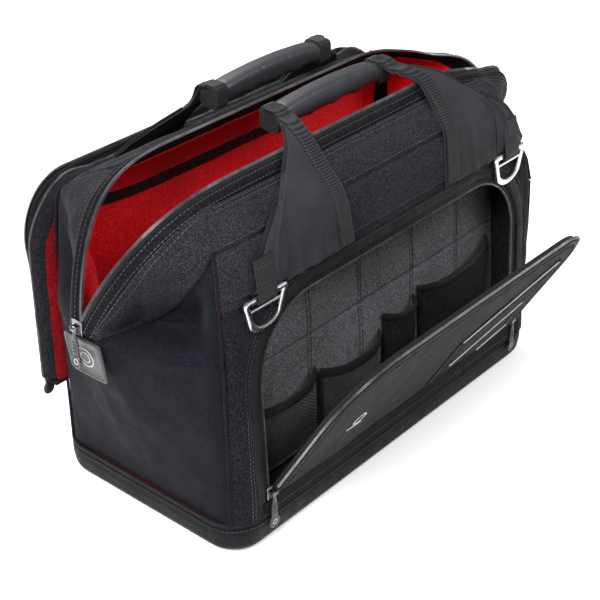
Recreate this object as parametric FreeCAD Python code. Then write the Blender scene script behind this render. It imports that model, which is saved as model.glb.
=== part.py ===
"""Pilot's flight bag: wide-mouth soft bag with front and rear zipped compartments.

Millimetres. +X runs along the bag, -Y is the front, +Z is up. The origin is the middle of the
base's resting face. The bag stands open: both mouth halves apart, front flap folded out 30
degrees, rear flap out 8.5 degrees, both grips up, every pull and D-ring hanging.
"""

import FreeCAD
import Part
import math
import os

from FreeCAD import Placement, Rotation, Vector

# ---- driving dimensions ----
BASE_LENGTH = 480.0
BASE_WIDTH = 235.0
BASE_HEIGHT = 33.0
BASE_CORNER = 34.0
BASE_EDGE = 14.0
BASE_WALL = 4.0
GAP = 0.4

FABRIC = 3.0
LINING = 1.5
PANEL = 4.0

FRONT_FOOT_Y = -119.0
FRONT_TOP_Y = -105.0
FRAME_TOP_Z = 256.0
REAR_FOOT_Y = 118.0
REAR_SEAM_Y = 104.0
REAR_SEAM_Z = 250.0
REAR_TOP_Y = 95.0
REAR_TOP_Z = 301.0
SIDE_X = 236.0
END_FRONT_Y = -117.0
END_REAR_Y = 111.0
END_TAPER = 0.03
SPOUT_X = 298.0
SPOUT_Z = 225.0
SPOUT_FLAT = 21.0

MOUTH_STRAIGHT = 140.0
MOUTH_REACH = 158.0
MOUTH_RISE = 116.0
HEM_Z = 341.0
FRONT_HEM_Y = -60.0
REAR_HEM_Y = 32.0
HEM_HALF = 205.0
HEM_WIDTH = 14.0
HEM_THICK = 6.0

CHAIN_WIDTH = 2.5
CHAIN_THICK = 2.4
TAPE_THICK = 1.0
CHAIN_DEPTH = 2.0
ZIP_GAP = 14.0

FRONT_ARCH_HALF = 200.5
FRONT_ARCH_LOW = 16.0
FRONT_ARCH_HIGH = 208.0
FRONT_ARCH_RADIUS = 75.0
POCKET_DEPTH = 34.0
FRONT_FLAP_THICK = 8.0
FRONT_FLAP_REST = 34.0

REAR_PLANE_Y = 121.0
REAR_HINGE_Z = 105.0
REAR_ARCH_HALF = 246.5
REAR_ARCH_HIGH = 197.0
REAR_ARCH_RADIUS = 68.0
REAR_FLAP_THICK = 4.0
REAR_FLAP_REST = 8.5

GRIP_LENGTH = 132.0
GRIP_DEPTH = 22.0
GRIP_FRONT = Vector(0.0, -20.0, 352.0)
GRIP_REAR = Vector(0.0, 53.0, 354.0)
WEBBING_WIDTH = 18.0

D_RING_X = 186.0
D_RING_WIRE = 3.6
D_RING_WIDTH = 45.0
D_RING_DROP = 30.0
D_RING_BAR = Vector(D_RING_X, -109.8, 256.5)

SLIDER_WIDTH = 12.0
SLIDER_LENGTH = 13.5
PLATE_THICK = 1.5
SLOT_THICK = 3.2
PIN_RADIUS = 1.1
PIN_STAND = 4.0
PULL_LENGTH = 32.0

X_AXIS = Vector(1, 0, 0)
Y_AXIS = Vector(0, 1, 0)
Z_AXIS = Vector(0, 0, 1)

# ---- derived places ----
FRONT_LEAN = math.degrees(math.atan2(FRONT_TOP_Y - FRONT_FOOT_Y, FRAME_TOP_Z - BASE_HEIGHT))
FRONT_PLACE = Placement(Vector(0, FRONT_FOOT_Y, BASE_HEIGHT), Rotation(X_AXIS, -FRONT_LEAN))
REAR_PLACE = Placement(Vector(0, REAR_PLANE_Y, REAR_HINGE_Z), Rotation(Z_AXIS, 180))
FRONT_FLAP_PIVOT = Vector(0, -0.5, FRONT_ARCH_LOW - 0.5)
REAR_FLAP_PIVOT = Vector(0, -0.5, 0)
FRONT_FLAP_AXIS = FRONT_PLACE.multVec(FRONT_FLAP_PIVOT)
REAR_FLAP_AXIS = REAR_PLACE.multVec(REAR_FLAP_PIVOT)
FRONT_MOUTH_AXIS = Vector(0, -66.0, 236.0)
REAR_MOUTH_AXIS = Vector(0, 80.0, 240.0)
FRONT_HANDLE_AXIS = Vector(0, -109.5, 257.0)
REAR_HANDLE_AXIS = Vector(0, 100.5, 306.0)


# ---- general helpers ----
def save(name, *shapes):
    """Write one named piece as STEP."""
    shape = shapes[0] if len(shapes) == 1 else Part.makeCompound(list(shapes))
    shape.exportStep(f"parts/{name}.step")


def box(low, high):
    """A box between two corners."""
    size = Vector(*high) - Vector(*low)
    return Part.makeBox(size.x, size.y, size.z, Vector(*low))


def moved(shape, placement):
    """A copy of a shape carried by a placement."""
    copy = shape.copy()
    copy.Placement = placement.multiply(copy.Placement)
    return copy


def mirrored(shape):
    """The same piece on the other end of the bag."""
    return shape.mirror(Vector(0, 0, 0), X_AXIS)


def triangle(a, b, c):
    return Part.Face(Part.makePolygon([a, b, c, a]))


def quad(a, b, c, d):
    return [triangle(a, b, c), triangle(a, c, d)]


def sheet(rows, thickness):
    """A closed sheet of cloth from rows of points on one face, thickened along its normals."""
    rows = [[Vector(*p) for p in row] for row in rows]
    tall, wide = len(rows), len(rows[0])
    normals = [[Vector(0, 0, 0) for _ in row] for row in rows]
    for i in range(tall - 1):
        for j in range(wide - 1):
            one, two = rows[i + 1][j + 1] - rows[i][j], rows[i + 1][j] - rows[i][j + 1]
            normal = one.cross(two)
            normal.normalize()
            for m, n in ((i, j), (i + 1, j), (i, j + 1), (i + 1, j + 1)):
                normals[m][n] = normals[m][n] + normal
    for row in normals:
        for normal in row:
            normal.normalize()
    back = [[p + n * thickness for p, n in zip(*pair)] for pair in zip(rows, normals)]
    faces = []
    for i in range(tall - 1):
        for j in range(wide - 1):
            faces += quad(rows[i][j], rows[i][j + 1], rows[i + 1][j + 1], rows[i + 1][j])
            faces += quad(back[i][j], back[i + 1][j], back[i + 1][j + 1], back[i][j + 1])
    for j in range(wide - 1):
        for i in (0, tall - 1):
            faces += quad(rows[i][j], rows[i][j + 1], back[i][j + 1], back[i][j])
    for i in range(tall - 1):
        for j in (0, wide - 1):
            faces += quad(rows[i][j], rows[i + 1][j], back[i + 1][j], back[i][j])
    shell = Part.Shell(faces)
    shell.sewShape()
    solid = Part.Solid(Part.Shell(shell.Faces))
    if solid.Volume < 0:
        solid.reverse()
    return solid


def outward(path, distance):
    """A (Y, Z) path moved sideways by a distance, to the left of its direction of travel."""
    moved_path = []
    for i, (y, z) in enumerate(path):
        before, after = path[max(i - 1, 0)], path[min(i + 1, len(path) - 1)]
        dy, dz = after[0] - before[0], after[1] - before[1]
        length = math.hypot(dy, dz)
        moved_path.append((y - dz / length * distance, z + dy / length * distance))
    return moved_path


def arch_face(half, low, high, radius):
    """A door-shaped face in the XZ plane: square below, round corners above."""
    left, right, bend = -half, half, radius * math.sqrt(0.5)
    top = high - radius
    wire = Part.Wire([
        Part.LineSegment(Vector(left, 0, low), Vector(left, 0, top)).toShape(),
        Part.Arc(Vector(left, 0, top), Vector(left + radius - bend, 0, top + bend),
                 Vector(left + radius, 0, high)).toShape(),
        Part.LineSegment(Vector(left + radius, 0, high), Vector(right - radius, 0, high)).toShape(),
        Part.Arc(Vector(right - radius, 0, high), Vector(right - radius + bend, 0, top + bend),
                 Vector(right, 0, top)).toShape(),
        Part.LineSegment(Vector(right, 0, top), Vector(right, 0, low)).toShape(),
        Part.LineSegment(Vector(right, 0, low), Vector(left, 0, low)).toShape(),
    ])
    return Part.Face(wire)


def arch_plate(half, low, high, radius, depth, thickness):
    """An arch cut from sheet, its near face at the given depth behind the outer face."""
    plate = arch_face(half, low, high, radius).extrude(Vector(0, thickness, 0))
    plate.translate(Vector(0, depth, 0))
    return plate


def arch_band(half, low, high, radius, width, depth, thickness):
    """A band along the sides and top of an arch, open at the foot."""
    outer = arch_plate(half, low, high, radius, depth, thickness)
    inner = arch_plate(half - width, low - 1, high - width, radius - width, depth - 1, thickness + 2)
    return outer.cut(inner)


def chain_band(half, low, high, radius, inner_side):
    """Zip tape and teeth round an arch; the teeth are on the tape's inner or outer edge."""
    tape_width = (ZIP_GAP - 2 * CHAIN_WIDTH - CHAIN_WIDTH) / 2 - GAP
    tape = arch_band(half, low, high, radius, tape_width, CHAIN_DEPTH - TAPE_THICK / 2, TAPE_THICK)
    step = tape_width if inner_side else -CHAIN_WIDTH
    teeth = arch_band(half - step, low, high - step, radius - step, CHAIN_WIDTH,
                      CHAIN_DEPTH - CHAIN_THICK / 2, CHAIN_THICK)
    return tape.fuse(teeth)


def rounded_tray(length, width, corner, edge, low, high):
    """A box with rounded upright corners and a rounded lower edge."""
    block = box((-length / 2, -width / 2, low), (length / 2, width / 2, high))
    uprights = [e for e in block.Edges if abs(e.Vertexes[0].Z - e.Vertexes[1].Z) > 1]
    block = block.makeFillet(corner, uprights)
    rim = [e for e in block.Edges if all(abs(v.Z - low) < 1e-6 for v in e.Vertexes)]
    return block.makeFillet(edge, rim)


# ---- base ----
def front_y(z):
    """Outer face of the front panel at a height."""
    return FRONT_FOOT_Y + (FRONT_TOP_Y - FRONT_FOOT_Y) * (z - BASE_HEIGHT) / (FRAME_TOP_Z - BASE_HEIGHT)


def make_base():
    outer = rounded_tray(BASE_LENGTH, BASE_WIDTH, BASE_CORNER, BASE_EDGE, 0, BASE_HEIGHT)
    inner = rounded_tray(BASE_LENGTH - 2 * BASE_WALL, BASE_WIDTH - 2 * BASE_WALL,
                         BASE_CORNER - BASE_WALL, BASE_EDGE - BASE_WALL, BASE_WALL, BASE_HEIGHT + 20)
    save("base_tray", outer.cut(inner))
    board_low = BASE_WALL + GAP
    board = box((-220, -98, board_low), (220, 98, board_low + 3))
    save("base_board", board.makeFillet(12, [e for e in board.Edges if e.Length < 4]))
    floor_low = board_low + 3 + GAP
    save("lining_floor", box((-222, -74, floor_low), (222, 98, floor_low + LINING)))


# ---- front panel, pocket and its organiser ----
def make_front():
    height = (FRAME_TOP_Z - BASE_HEIGHT) / math.cos(math.radians(FRONT_LEAN))
    panel = box((-232.4, 0, GAP), (232.4, PANEL, height))
    opening = arch_plate(FRONT_ARCH_HALF, FRONT_ARCH_LOW, FRONT_ARCH_HIGH, FRONT_ARCH_RADIUS, -1, PANEL + 2)
    save("front_frame_panel", moved(panel.cut(opening), FRONT_PLACE))

    side = FRONT_ARCH_HALF + 3.5
    gusset_depth = PANEL + GAP
    gusset = arch_plate(side, 12, FRONT_ARCH_HIGH + 4, FRONT_ARCH_RADIUS + 4, gusset_depth, 27.2)
    hollow = arch_plate(side - 2, 14, FRONT_ARCH_HIGH + 2, FRONT_ARCH_RADIUS + 2, gusset_depth - 1, 30)
    save("front_pocket_gusset", moved(gusset.cut(hollow), FRONT_PLACE))
    back = arch_plate(side, 12, FRONT_ARCH_HIGH + 4, FRONT_ARCH_RADIUS + 4, POCKET_DEPTH - 2, 2)
    save("front_pocket_back", moved(back, FRONT_PLACE))

    chain = chain_band(FRONT_ARCH_HALF - GAP, FRONT_ARCH_LOW + 2, FRONT_ARCH_HIGH - GAP,
                       FRONT_ARCH_RADIUS - GAP, True)
    save("front_pocket_zip", moved(chain, FRONT_PLACE))

    save("mesh_pockets", organiser(-190, -92, 15, 90), organiser(-86, 6, 15, 84))
    save("fabric_pockets", organiser(12, 62, 17, 100), organiser(70, 190, 15, 112))

    lining = [[(-225, POCKET_DEPTH + 1, low), (225, POCKET_DEPTH + 1, low)] for low in (-20, height - 1)]
    save("lining_front", moved(sheet(lining, -LINING), FRONT_PLACE))


def organiser(left, right, stand, high):
    """A slip pocket on the back wall of the front pocket: open above, sewn on three sides."""
    wall = POCKET_DEPTH - 2 - GAP - LINING
    low = FRONT_ARCH_LOW + 2
    rows = [[(left, wall, low), (left + 5, wall, low), (right - 5, wall, low), (right, wall, low)]]
    for z in (low + 5, high):
        rows.append([(left, wall, z), (left + 5, stand, z), (right - 5, stand, z), (right, wall, z)])
    return moved(sheet(rows, -LINING), FRONT_PLACE)


# ---- front flap ----
def front_flap_place():
    turn = Placement(Vector(0, 0, 0), Rotation(X_AXIS, FRONT_FLAP_REST), FRONT_FLAP_PIVOT)
    return FRONT_PLACE.multiply(turn)


def make_front_flap():
    place = front_flap_place()
    half, high = FRONT_ARCH_HALF - ZIP_GAP, FRONT_ARCH_HIGH - ZIP_GAP
    radius = FRONT_ARCH_RADIUS - ZIP_GAP
    low = FRONT_ARCH_LOW + 3
    panel = arch_plate(half, low, high, radius, 0, FRONT_FLAP_THICK - LINING - GAP)
    save("front_flap_panel", moved(panel, place))
    lining = arch_plate(half - 3, low + 3, high - 3, radius - 3, FRONT_FLAP_THICK - LINING, LINING)
    save("front_flap_lining", moved(lining, place))
    tape = (ZIP_GAP - 3 * CHAIN_WIDTH) / 2 - GAP
    chain = chain_band(half + GAP + tape, low + 18, high + GAP + tape, radius + GAP + tape, False)
    save("front_flap_zip", moved(chain, place))
    pocket = [[(30, -GAP, low + 12), (150, -GAP, low + 12)],
              [(30, -3.0, low + 16), (150, -3.0, low + 16)],
              [(30, -3.0, low + 80), (150, -3.0, low + 140)],
              [(30, -GAP, low + 84), (150, -GAP, low + 144)]]
    save("front_flap_pocket", moved(sheet(pocket, -LINING), place).common(
        moved(box((0, -20, 0), (180, -GAP, 200)), place)))


# ---- rear wall, compartment and flap ----
def rear_y(z):
    """Outer face of the rear wall at a height."""
    if z < REAR_SEAM_Z:
        return REAR_FOOT_Y + (REAR_SEAM_Y - REAR_FOOT_Y) * (z - BASE_HEIGHT) / (REAR_SEAM_Z - BASE_HEIGHT)
    return REAR_SEAM_Y + (REAR_TOP_Y - REAR_SEAM_Y) * (z - REAR_SEAM_Z) / (REAR_TOP_Z - REAR_SEAM_Z)


def arch_points(half, low, high, radius):
    """Points up one side of an arch, over it and down the other."""
    side = [(half, low), (half, high - radius)]
    bend = [(half - radius + radius * math.cos(math.radians(a)), high - radius + radius * math.sin(math.radians(a)))
            for a in (22.5, 45, 67.5, 90)]
    right = side + bend
    return right + [(-x, z) for x, z in reversed(right)]


def make_rear():
    rows = [[(x, rear_y(z), z) for x in (-SIDE_X + 3.6, SIDE_X - 3.6)]
            for z in (BASE_HEIGHT + GAP, REAR_SEAM_Z, REAR_TOP_Z)]
    save("rear_wall", sheet(rows, PANEL))
    inner = PANEL + GAP
    rows = [[(x, rear_y(z) - inner, z) for x in (-225, 225)] for z in (BASE_HEIGHT + 1, REAR_SEAM_Z, REAR_TOP_Z - 2)]
    save("lining_rear", sheet(rows, LINING))

    foot = arch_points(REAR_ARCH_HALF - 16, 2, REAR_ARCH_HIGH - 12, REAR_ARCH_RADIUS - 12)
    shoulder = arch_points(REAR_ARCH_HALF + 3.6, 2, REAR_ARCH_HIGH + 3.6, REAR_ARCH_RADIUS)
    rim = arch_points(REAR_ARCH_HALF + 4, 2, REAR_ARCH_HIGH + 4, REAR_ARCH_RADIUS)
    rows = [[(-x, rear_y(z + REAR_HINGE_Z) + GAP, z + REAR_HINGE_Z) for x, z in foot],
            [(-x, REAR_FOOT_Y - 5.5, z + REAR_HINGE_Z) for x, z in shoulder],
            [(-x, REAR_PLANE_Y - GAP, z + REAR_HINGE_Z) for x, z in rim]]
    save("rear_compartment_gusset", sheet(rows, -2.0))
    chain = chain_band(REAR_ARCH_HALF, 4, REAR_ARCH_HIGH, REAR_ARCH_RADIUS, True)
    save("rear_compartment_zip", moved(chain, REAR_PLACE))

    side, stand = 205, 12
    pocket = []
    for z in (118, 130, 268):
        out = 0 if z == 118 else stand
        lining_face = [rear_y(z) - inner - LINING - GAP for _ in range(4)]
        y = [lining_face[0], lining_face[1] - out, lining_face[2] - out, lining_face[3]]
        pocket.append([(x, y_at, z) for x, y_at in zip((-side, -side + 8, side - 8, side), y)])
    save("inner_pocket", sheet(pocket, LINING))
    band = []
    for z in (271, 287):
        face = rear_y(z) - inner - LINING - GAP
        band.append([(x, y, z) for x, y in zip((-side, -side + 8, side - 8, side),
                                                (face, face - stand, face - stand, face))])
    save("inner_elastic_band", sheet(band, 2.0))


def make_rear_flap():
    turn = Placement(Vector(0, 0, 0), Rotation(X_AXIS, REAR_FLAP_REST), REAR_FLAP_PIVOT)
    place = REAR_PLACE.multiply(turn)
    half, high = REAR_ARCH_HALF - ZIP_GAP, REAR_ARCH_HIGH - ZIP_GAP
    radius = REAR_ARCH_RADIUS - ZIP_GAP
    panel = arch_plate(half, 3, high, radius, 0, REAR_FLAP_THICK - LINING - GAP)
    save("rear_flap_panel", moved(panel, place))
    lining = arch_plate(half - 3, 6, high - 3, radius - 3, REAR_FLAP_THICK - LINING, LINING)
    save("rear_flap_lining", moved(lining, place))
    tape = (ZIP_GAP - 3 * CHAIN_WIDTH) / 2 - GAP
    chain = chain_band(half + GAP + tape, 40, high + GAP + tape, radius + GAP + tape, False)
    save("rear_flap_zip", moved(chain, place))


# ---- end panels and the folding cloth of the mouth ----
def crease(share):
    """Upper edge of an end panel, from the front seam (-1) to the rear seam (+1)."""
    y = (END_REAR_Y if share > 0 else -END_FRONT_Y) * share
    flat = SPOUT_FLAT / 117.0
    fall = max(0.0, (abs(share) - flat) / (1 - flat))
    return SPOUT_X - (SPOUT_X - SIDE_X - 3) * fall, y, SPOUT_Z - 3 - 20 * fall


def end_point(share, rise, inset):
    """A point of an end panel: share across it, rise from its foot to the crease."""
    x, y, z = crease(share)
    height = BASE_HEIGHT + GAP + (z - BASE_HEIGHT - GAP) * rise
    out = SIDE_X + (x - SIDE_X) * rise ** 1.3
    return out - inset, y - END_TAPER * share * (height - BASE_HEIGHT), height


def end_rows(inset, shares):
    """Rows of points over an end panel, from the base up to the crease."""
    return [[end_point(share, rise, inset) for share in shares] for rise in (0, 0.3, 0.55, 0.8, 1)]


def make_ends():
    outer = sheet(end_rows(0, (-1, -0.75, -0.45, -0.18, 0.18, 0.45, 0.75, 1)), -FABRIC)
    save("end_panel_right", outer)
    save("end_panel_left", mirrored(outer))
    lining = sheet(end_rows(FABRIC + 2, (-0.92, -0.7, -0.42, -0.16, 0.16, 0.42, 0.7, 0.92)), -LINING)
    save("lining_ends", lining, mirrored(lining))


def mouth_point(angle, rear):
    """A point of the mouth's edge, from the spout (0 degrees) to the straight top (90)."""
    c, s = math.cos(math.radians(angle)), math.sin(math.radians(angle))
    y = REAR_HEM_Y * s ** 2.5 if rear else FRONT_HEM_Y * s
    return Vector(MOUTH_STRAIGHT + MOUTH_REACH * max(c, 0) ** 0.6, y, SPOUT_Z + MOUTH_RISE * s)


def leg(rear):
    """The zip from the spout up to the stiffened hem, on the right end."""
    side = 1 if rear else -1
    rows = []
    for angle in (8, 16, 28, 42, 56, 68, 76):
        p = mouth_point(angle, rear) + Vector(0, 3.2 * side, 0)
        rows.append([(p.x, p.y, p.z), (p.x - 2, p.y + 7 * side, p.z - 1)])
    return sheet(rows, 2.2 * side)


def gusset(rear):
    """The soft triangle between the end panel, a corner seam and one leg of the zip."""
    side = 1 if rear else -1
    low_corner = Vector(240, 108 * side, 211)
    high_corner = Vector(237, 86 * side, 296)
    rows = []
    for rise, angle in ((0, 8), (0.25, 20), (0.5, 34), (0.75, 48), (1, 60)):
        start = low_corner + (high_corner - low_corner) * rise
        finish = mouth_point(angle, rear) + Vector(-3, 15 * side, 2)
        rows.append([tuple(start + (finish - start) * t + Vector(-14 * t * (1 - t) * 4, 0, 0))
                     for t in (0, 0.33, 0.66, 1)])
    return sheet(rows, (FABRIC - 1) * side)


def make_mouth_cloth():
    for name, rear in (("front", False), ("rear", True)):
        side = gusset(rear)
        save(f"end_gussets_{name}", side, mirrored(side))
        run = leg(rear)
        save(f"mouth_zip_ends_{name}", run, mirrored(run))
    front = [(-105, 257.2), (-100, 285), (-95, 306), (-84, 318), (-73, 328.5)]
    save("yoke_front", sheet([[(x, y, z - drop(x, z)) for x in (-226, -170, 170, 226)] for y, z in front], -FABRIC))
    rear = [(94, 305), (80, 312.5), (62, 321), (45.5, 329)]
    save("yoke_rear", sheet([[(x, y, z - drop(x, z)) for x in (-226, -170, 170, 226)] for y, z in rear], FABRIC))


def drop(x, z):
    """How far the soft shoulders fall towards the ends of the bag."""
    return max(0.0, (abs(x) - 170) / 62) * max(0.0, (z - 300) / 40) * 12


# ---- mouth halves: stiffened hem, stay and zip ----
def mouth_half(name, hem_y, slope):
    """A hem with a flat stay inside and the zip chain on its edge."""
    place = Placement(Vector(0, hem_y, HEM_Z), Rotation(X_AXIS, slope))
    half, thick = HEM_HALF, HEM_THICK / 2
    hem = box((-half, -thick, -HEM_WIDTH), (half, thick, 0))
    slot = box((-half + 4, -1.3, -HEM_WIDTH + 3), (half - 4, 1.3, -3))
    save(f"mouth_hem_{name}", moved(hem.cut(slot), place))
    save(f"mouth_stay_{name}", moved(box((-half + 5, -0.8, -HEM_WIDTH + 3.5), (half - 5, 0.8, -3.5)), place))
    tape = box((-half, -TAPE_THICK / 2, 0), (half, TAPE_THICK / 2, 2.6))
    teeth = box((-half, -CHAIN_THICK / 2, 2.5), (half, CHAIN_THICK / 2, 2.5 + CHAIN_WIDTH))
    save(f"mouth_zip_{name}", moved(tape.fuse(teeth), place))


# ---- handles ----
def grip(centre):
    """A moulded grip, arched above, with finger scallops below and a bore for the webbing."""
    half = GRIP_LENGTH / 2
    ends = [Part.LineSegment(Vector(half, 0, 10), Vector(half, 0, -10)).toShape(),
            Part.LineSegment(Vector(-half, 0, -10), Vector(-half, 0, 10)).toShape()]
    top = Part.Arc(Vector(-half, 0, 10), Vector(0, 0, 14), Vector(half, 0, 10)).toShape()
    cusps = [half - i * half / 2 for i in range(5)]
    below = [Part.Arc(Vector(a, 0, -10), Vector((a + b) / 2, 0, -7), Vector(b, 0, -10)).toShape()
             for a, b in zip(cusps, cusps[1:])]
    outline = Part.Wire([top, ends[0], *below, ends[1]])
    body = Part.Face(outline).extrude(Vector(0, GRIP_DEPTH, 0))
    body.translate(Vector(0, -GRIP_DEPTH / 2, 0))
    bore = box((-half - 1, -8, -3), (half + 1, 8, 3))
    body = body.cut(bore)
    body.translate(centre)
    return body


def wing(path, outer, inner, lift, thickness):
    """One side of a handle: a tapering sheet that follows a (Y, Z) path."""
    rows = [[(-a, y, z), (-(a + b) / 2, y, z), (-b, y, z)]
            for (y, z), a, b in zip(outward(path, lift), outer, inner)]
    return sheet(rows, thickness)


def make_handle(name, centre, path, outer, inner, side):
    """Grip, two tapering wings and the webbing that edges them and runs through the grip."""
    save(f"grip_{name}", grip(centre))
    left = wing(path, outer, inner, 0, 2.0 * side)
    save(f"handle_wings_{name}", left, mirrored(left))
    strap_inner = [b + 1 for b in inner]
    strap_outer = [b + 1 + min(WEBBING_WIDTH, a - b - 2) for a, b in zip(outer, inner)]
    strap = wing(path, strap_outer, strap_inner, (2.0 + GAP) * side, 1.6 * side)
    half = GRIP_LENGTH / 2 + GAP
    wrap = box((-half - 15, -11, -12), (-half, 11, 12)).cut(box((-half - 12, -9, -5), (-half + 1, 9, 5)))
    wrap.translate(centre)
    core = box((-half - 11, -7, -2.2), (half + 11, 7, 2.2))
    core.translate(centre)
    save(f"handle_webbing_{name}", strap, mirrored(strap), wrap, mirrored(wrap), core)


def make_handles():
    front = [(-108.5, 257.5), (-104, 286), (-99, 308), (-88, 322.5), (-76.5, 336), (-65.5, 348), (-53, 353), (-34, 356)]
    make_handle("front", GRIP_FRONT, front, (160, 160, 158, 145, 128, 112, 98, 86), (71, 73, 76, 78, 79, 80, 76, 68), 1)
    rear = [(99.5, 306.5), (90, 319), (79, 332), (66, 346)]
    make_handle("rear", GRIP_REAR, rear, (160, 148, 122, 88), (71, 74, 76, 68), -1)


# ---- D-rings and their tabs ----
def make_d_rings():
    bar = D_RING_BAR
    ring_side, eye = 10, 2.6
    tab = sheet([[(bar.x - 12, -107.9, 262), (bar.x + 12, -107.9, 262)],
                 [(bar.x - 15, -103.2, 286), (bar.x + 15, -103.2, 286)]], 2.0)
    loop = box((bar.x - ring_side, -113.8, 252), (bar.x + ring_side, -106, 262.5))
    loop = loop.cut(box((bar.x - 20, bar.y - eye, bar.z - eye), (bar.x + 20, bar.y + eye, bar.z + eye)))
    save("d_ring_tabs", tab.fuse(loop), mirrored(tab.fuse(loop)))

    half, wire = D_RING_WIDTH / 2, D_RING_WIRE
    top = wire / 2

    def outline(inset):
        """The ring's outline: straight bar above, sides drawn in to a round bottom."""
        side, low = half - inset, -D_RING_DROP + inset
        corner = Vector(side - 5, 0, low + 10)
        return Part.Face(Part.Wire([
            Part.LineSegment(Vector(-side, 0, top - inset), Vector(side, 0, top - inset)).toShape(),
            Part.LineSegment(Vector(side, 0, top - inset), corner).toShape(),
            Part.Arc(corner, Vector(0, 0, low), Vector(-corner.x, 0, corner.z)).toShape(),
            Part.LineSegment(Vector(-corner.x, 0, corner.z), Vector(-side, 0, top - inset)).toShape(),
        ]))

    ring = outline(0).cut(outline(wire)).extrude(Vector(0, wire, 0))
    ring.translate(bar - Vector(0, wire / 2, 0))
    save("d_ring_right", ring)
    save("d_ring_left", mirrored(ring))


# ---- zip sliders and pulls ----
def slider():
    """A zip slider: two plates either side of the chain, a post between them and an eye."""
    half, length = SLIDER_WIDTH / 2, SLIDER_LENGTH
    near, far = CHAIN_DEPTH - SLOT_THICK / 2, CHAIN_DEPTH + SLOT_THICK / 2
    body = box((-half, near - PLATE_THICK, 0), (half, near, length))
    body = body.fuse(box((-half, far, 0), (half, far + PLATE_THICK, length)))
    body = body.fuse(box((-0.85, near - 0.1, length - 5), (0.85, far + 0.1, length - 1)))
    crown_z = length / 2
    for side in (-1, 1):
        ear = box((-0.5, -PIN_STAND - 1.9, crown_z - 2.2), (0.5, near - PLATE_THICK + 0.1, crown_z + 2.2))
        ear.translate(Vector(2.9 * side, 0, 0))
        body = body.fuse(ear)
    pin = Part.makeCylinder(PIN_RADIUS, 6.4, Vector(-3.2, -PIN_STAND, crown_z), X_AXIS)
    return body.fuse(pin)


def pull():
    """A moulded pull: eye on the slider's pin, strip, and a disc with a raised rim."""
    z = SLIDER_LENGTH / 2
    eye = Part.makeCylinder(2.3, 4.0, Vector(-2, -PIN_STAND, z), X_AXIS)
    eye = eye.cut(Part.makeCylinder(PIN_RADIUS + 0.3, 6, Vector(-3, -PIN_STAND, z), X_AXIS))
    strip = box((-2, -PIN_STAND - 1.2, z - 10), (2, -PIN_STAND + 1.2, z - 1.9))
    wide = box((-3.5, -PIN_STAND - 1.2, z - PULL_LENGTH + 6), (3.5, -PIN_STAND + 1.2, z - 9))
    disc = Part.makeCylinder(6.5, 2.4, Vector(0, -PIN_STAND - 1.2, z - PULL_LENGTH), Y_AXIS)
    rim = Part.makeCylinder(5.2, 1.6, Vector(0, -PIN_STAND - 1.8, z - PULL_LENGTH), Y_AXIS)
    rim = rim.cut(Part.makeCylinder(3.8, 5, Vector(0, -PIN_STAND - 4, z - PULL_LENGTH), Y_AXIS))
    return eye.fuse([strip, wide, disc, rim])


def slider_places():
    """Where each slider stands: its name and the placement of its local frame."""
    places = {}
    front_x = FRONT_ARCH_HALF - ZIP_GAP / 2
    rear_x = REAR_ARCH_HALF - ZIP_GAP / 2
    for name, side in (("left", -1), ("right", 1)):
        front = FRONT_PLACE.multiply(Placement(Vector(front_x * side, 0, FRONT_ARCH_LOW + 0.8), Rotation()))
        places[f"front_{name}"] = front
        rear = REAR_PLACE.multiply(Placement(Vector(-rear_x * side, 0, 6), Rotation()))
        places[f"rear_{name}"] = rear
        end = Placement(Vector((SPOUT_X + CHAIN_DEPTH) * side, 0, SPOUT_Z + 1.5), Rotation(Z_AXIS, 90 * side))
        places[f"main_{name}"] = end
    return places


def pin_places():
    """The middle of each slider's pin, where its pull turns."""
    return {name: place.multVec(Vector(0, -PIN_STAND, SLIDER_LENGTH / 2))
            for name, place in slider_places().items()}


def make_sliders():
    for name, place in slider_places().items():
        save(f"slider_{name}", moved(slider(), place))
        pin = place.multVec(Vector(0, -PIN_STAND, SLIDER_LENGTH / 2))
        tilt = -FRONT_LEAN if name.startswith("front") else 0.0
        upright = Placement(Vector(0, 0, 0), Rotation(X_AXIS, -tilt), pin)
        save(f"pull_{name}", moved(pull(), upright.multiply(place)))


# ---- spout patches ----
def make_patches():
    low, high = Vector(*end_point(0, 0.8, 0)), Vector(*end_point(0, 1, 0))
    tilt = math.degrees(math.atan2(high.x - low.x, high.z - low.z))
    place = Placement(Vector(high.x, 0, high.z), Rotation(Y_AXIS, tilt))
    patch = moved(box((GAP, -19, -42), (GAP + 2.4, 19, -3)), place)
    save("zip_end_patches", patch, mirrored(patch))


def main():
    os.makedirs("parts", exist_ok=True)
    make_base()
    make_front()
    make_front_flap()
    make_rear()
    make_rear_flap()
    make_ends()
    make_mouth_cloth()
    mouth_half("front", FRONT_HEM_Y, -45)
    mouth_half("rear", REAR_HEM_Y, 51.5)
    make_handles()
    make_d_rings()
    make_sliders()
    make_patches()


main()
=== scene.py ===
"""Flight bag: the looks of a wide-mouth soft bag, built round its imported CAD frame.

Lengths in this script are millimetres until a mesh is made. +X runs along the bag, -Y is the front.
"""

import math

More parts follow.
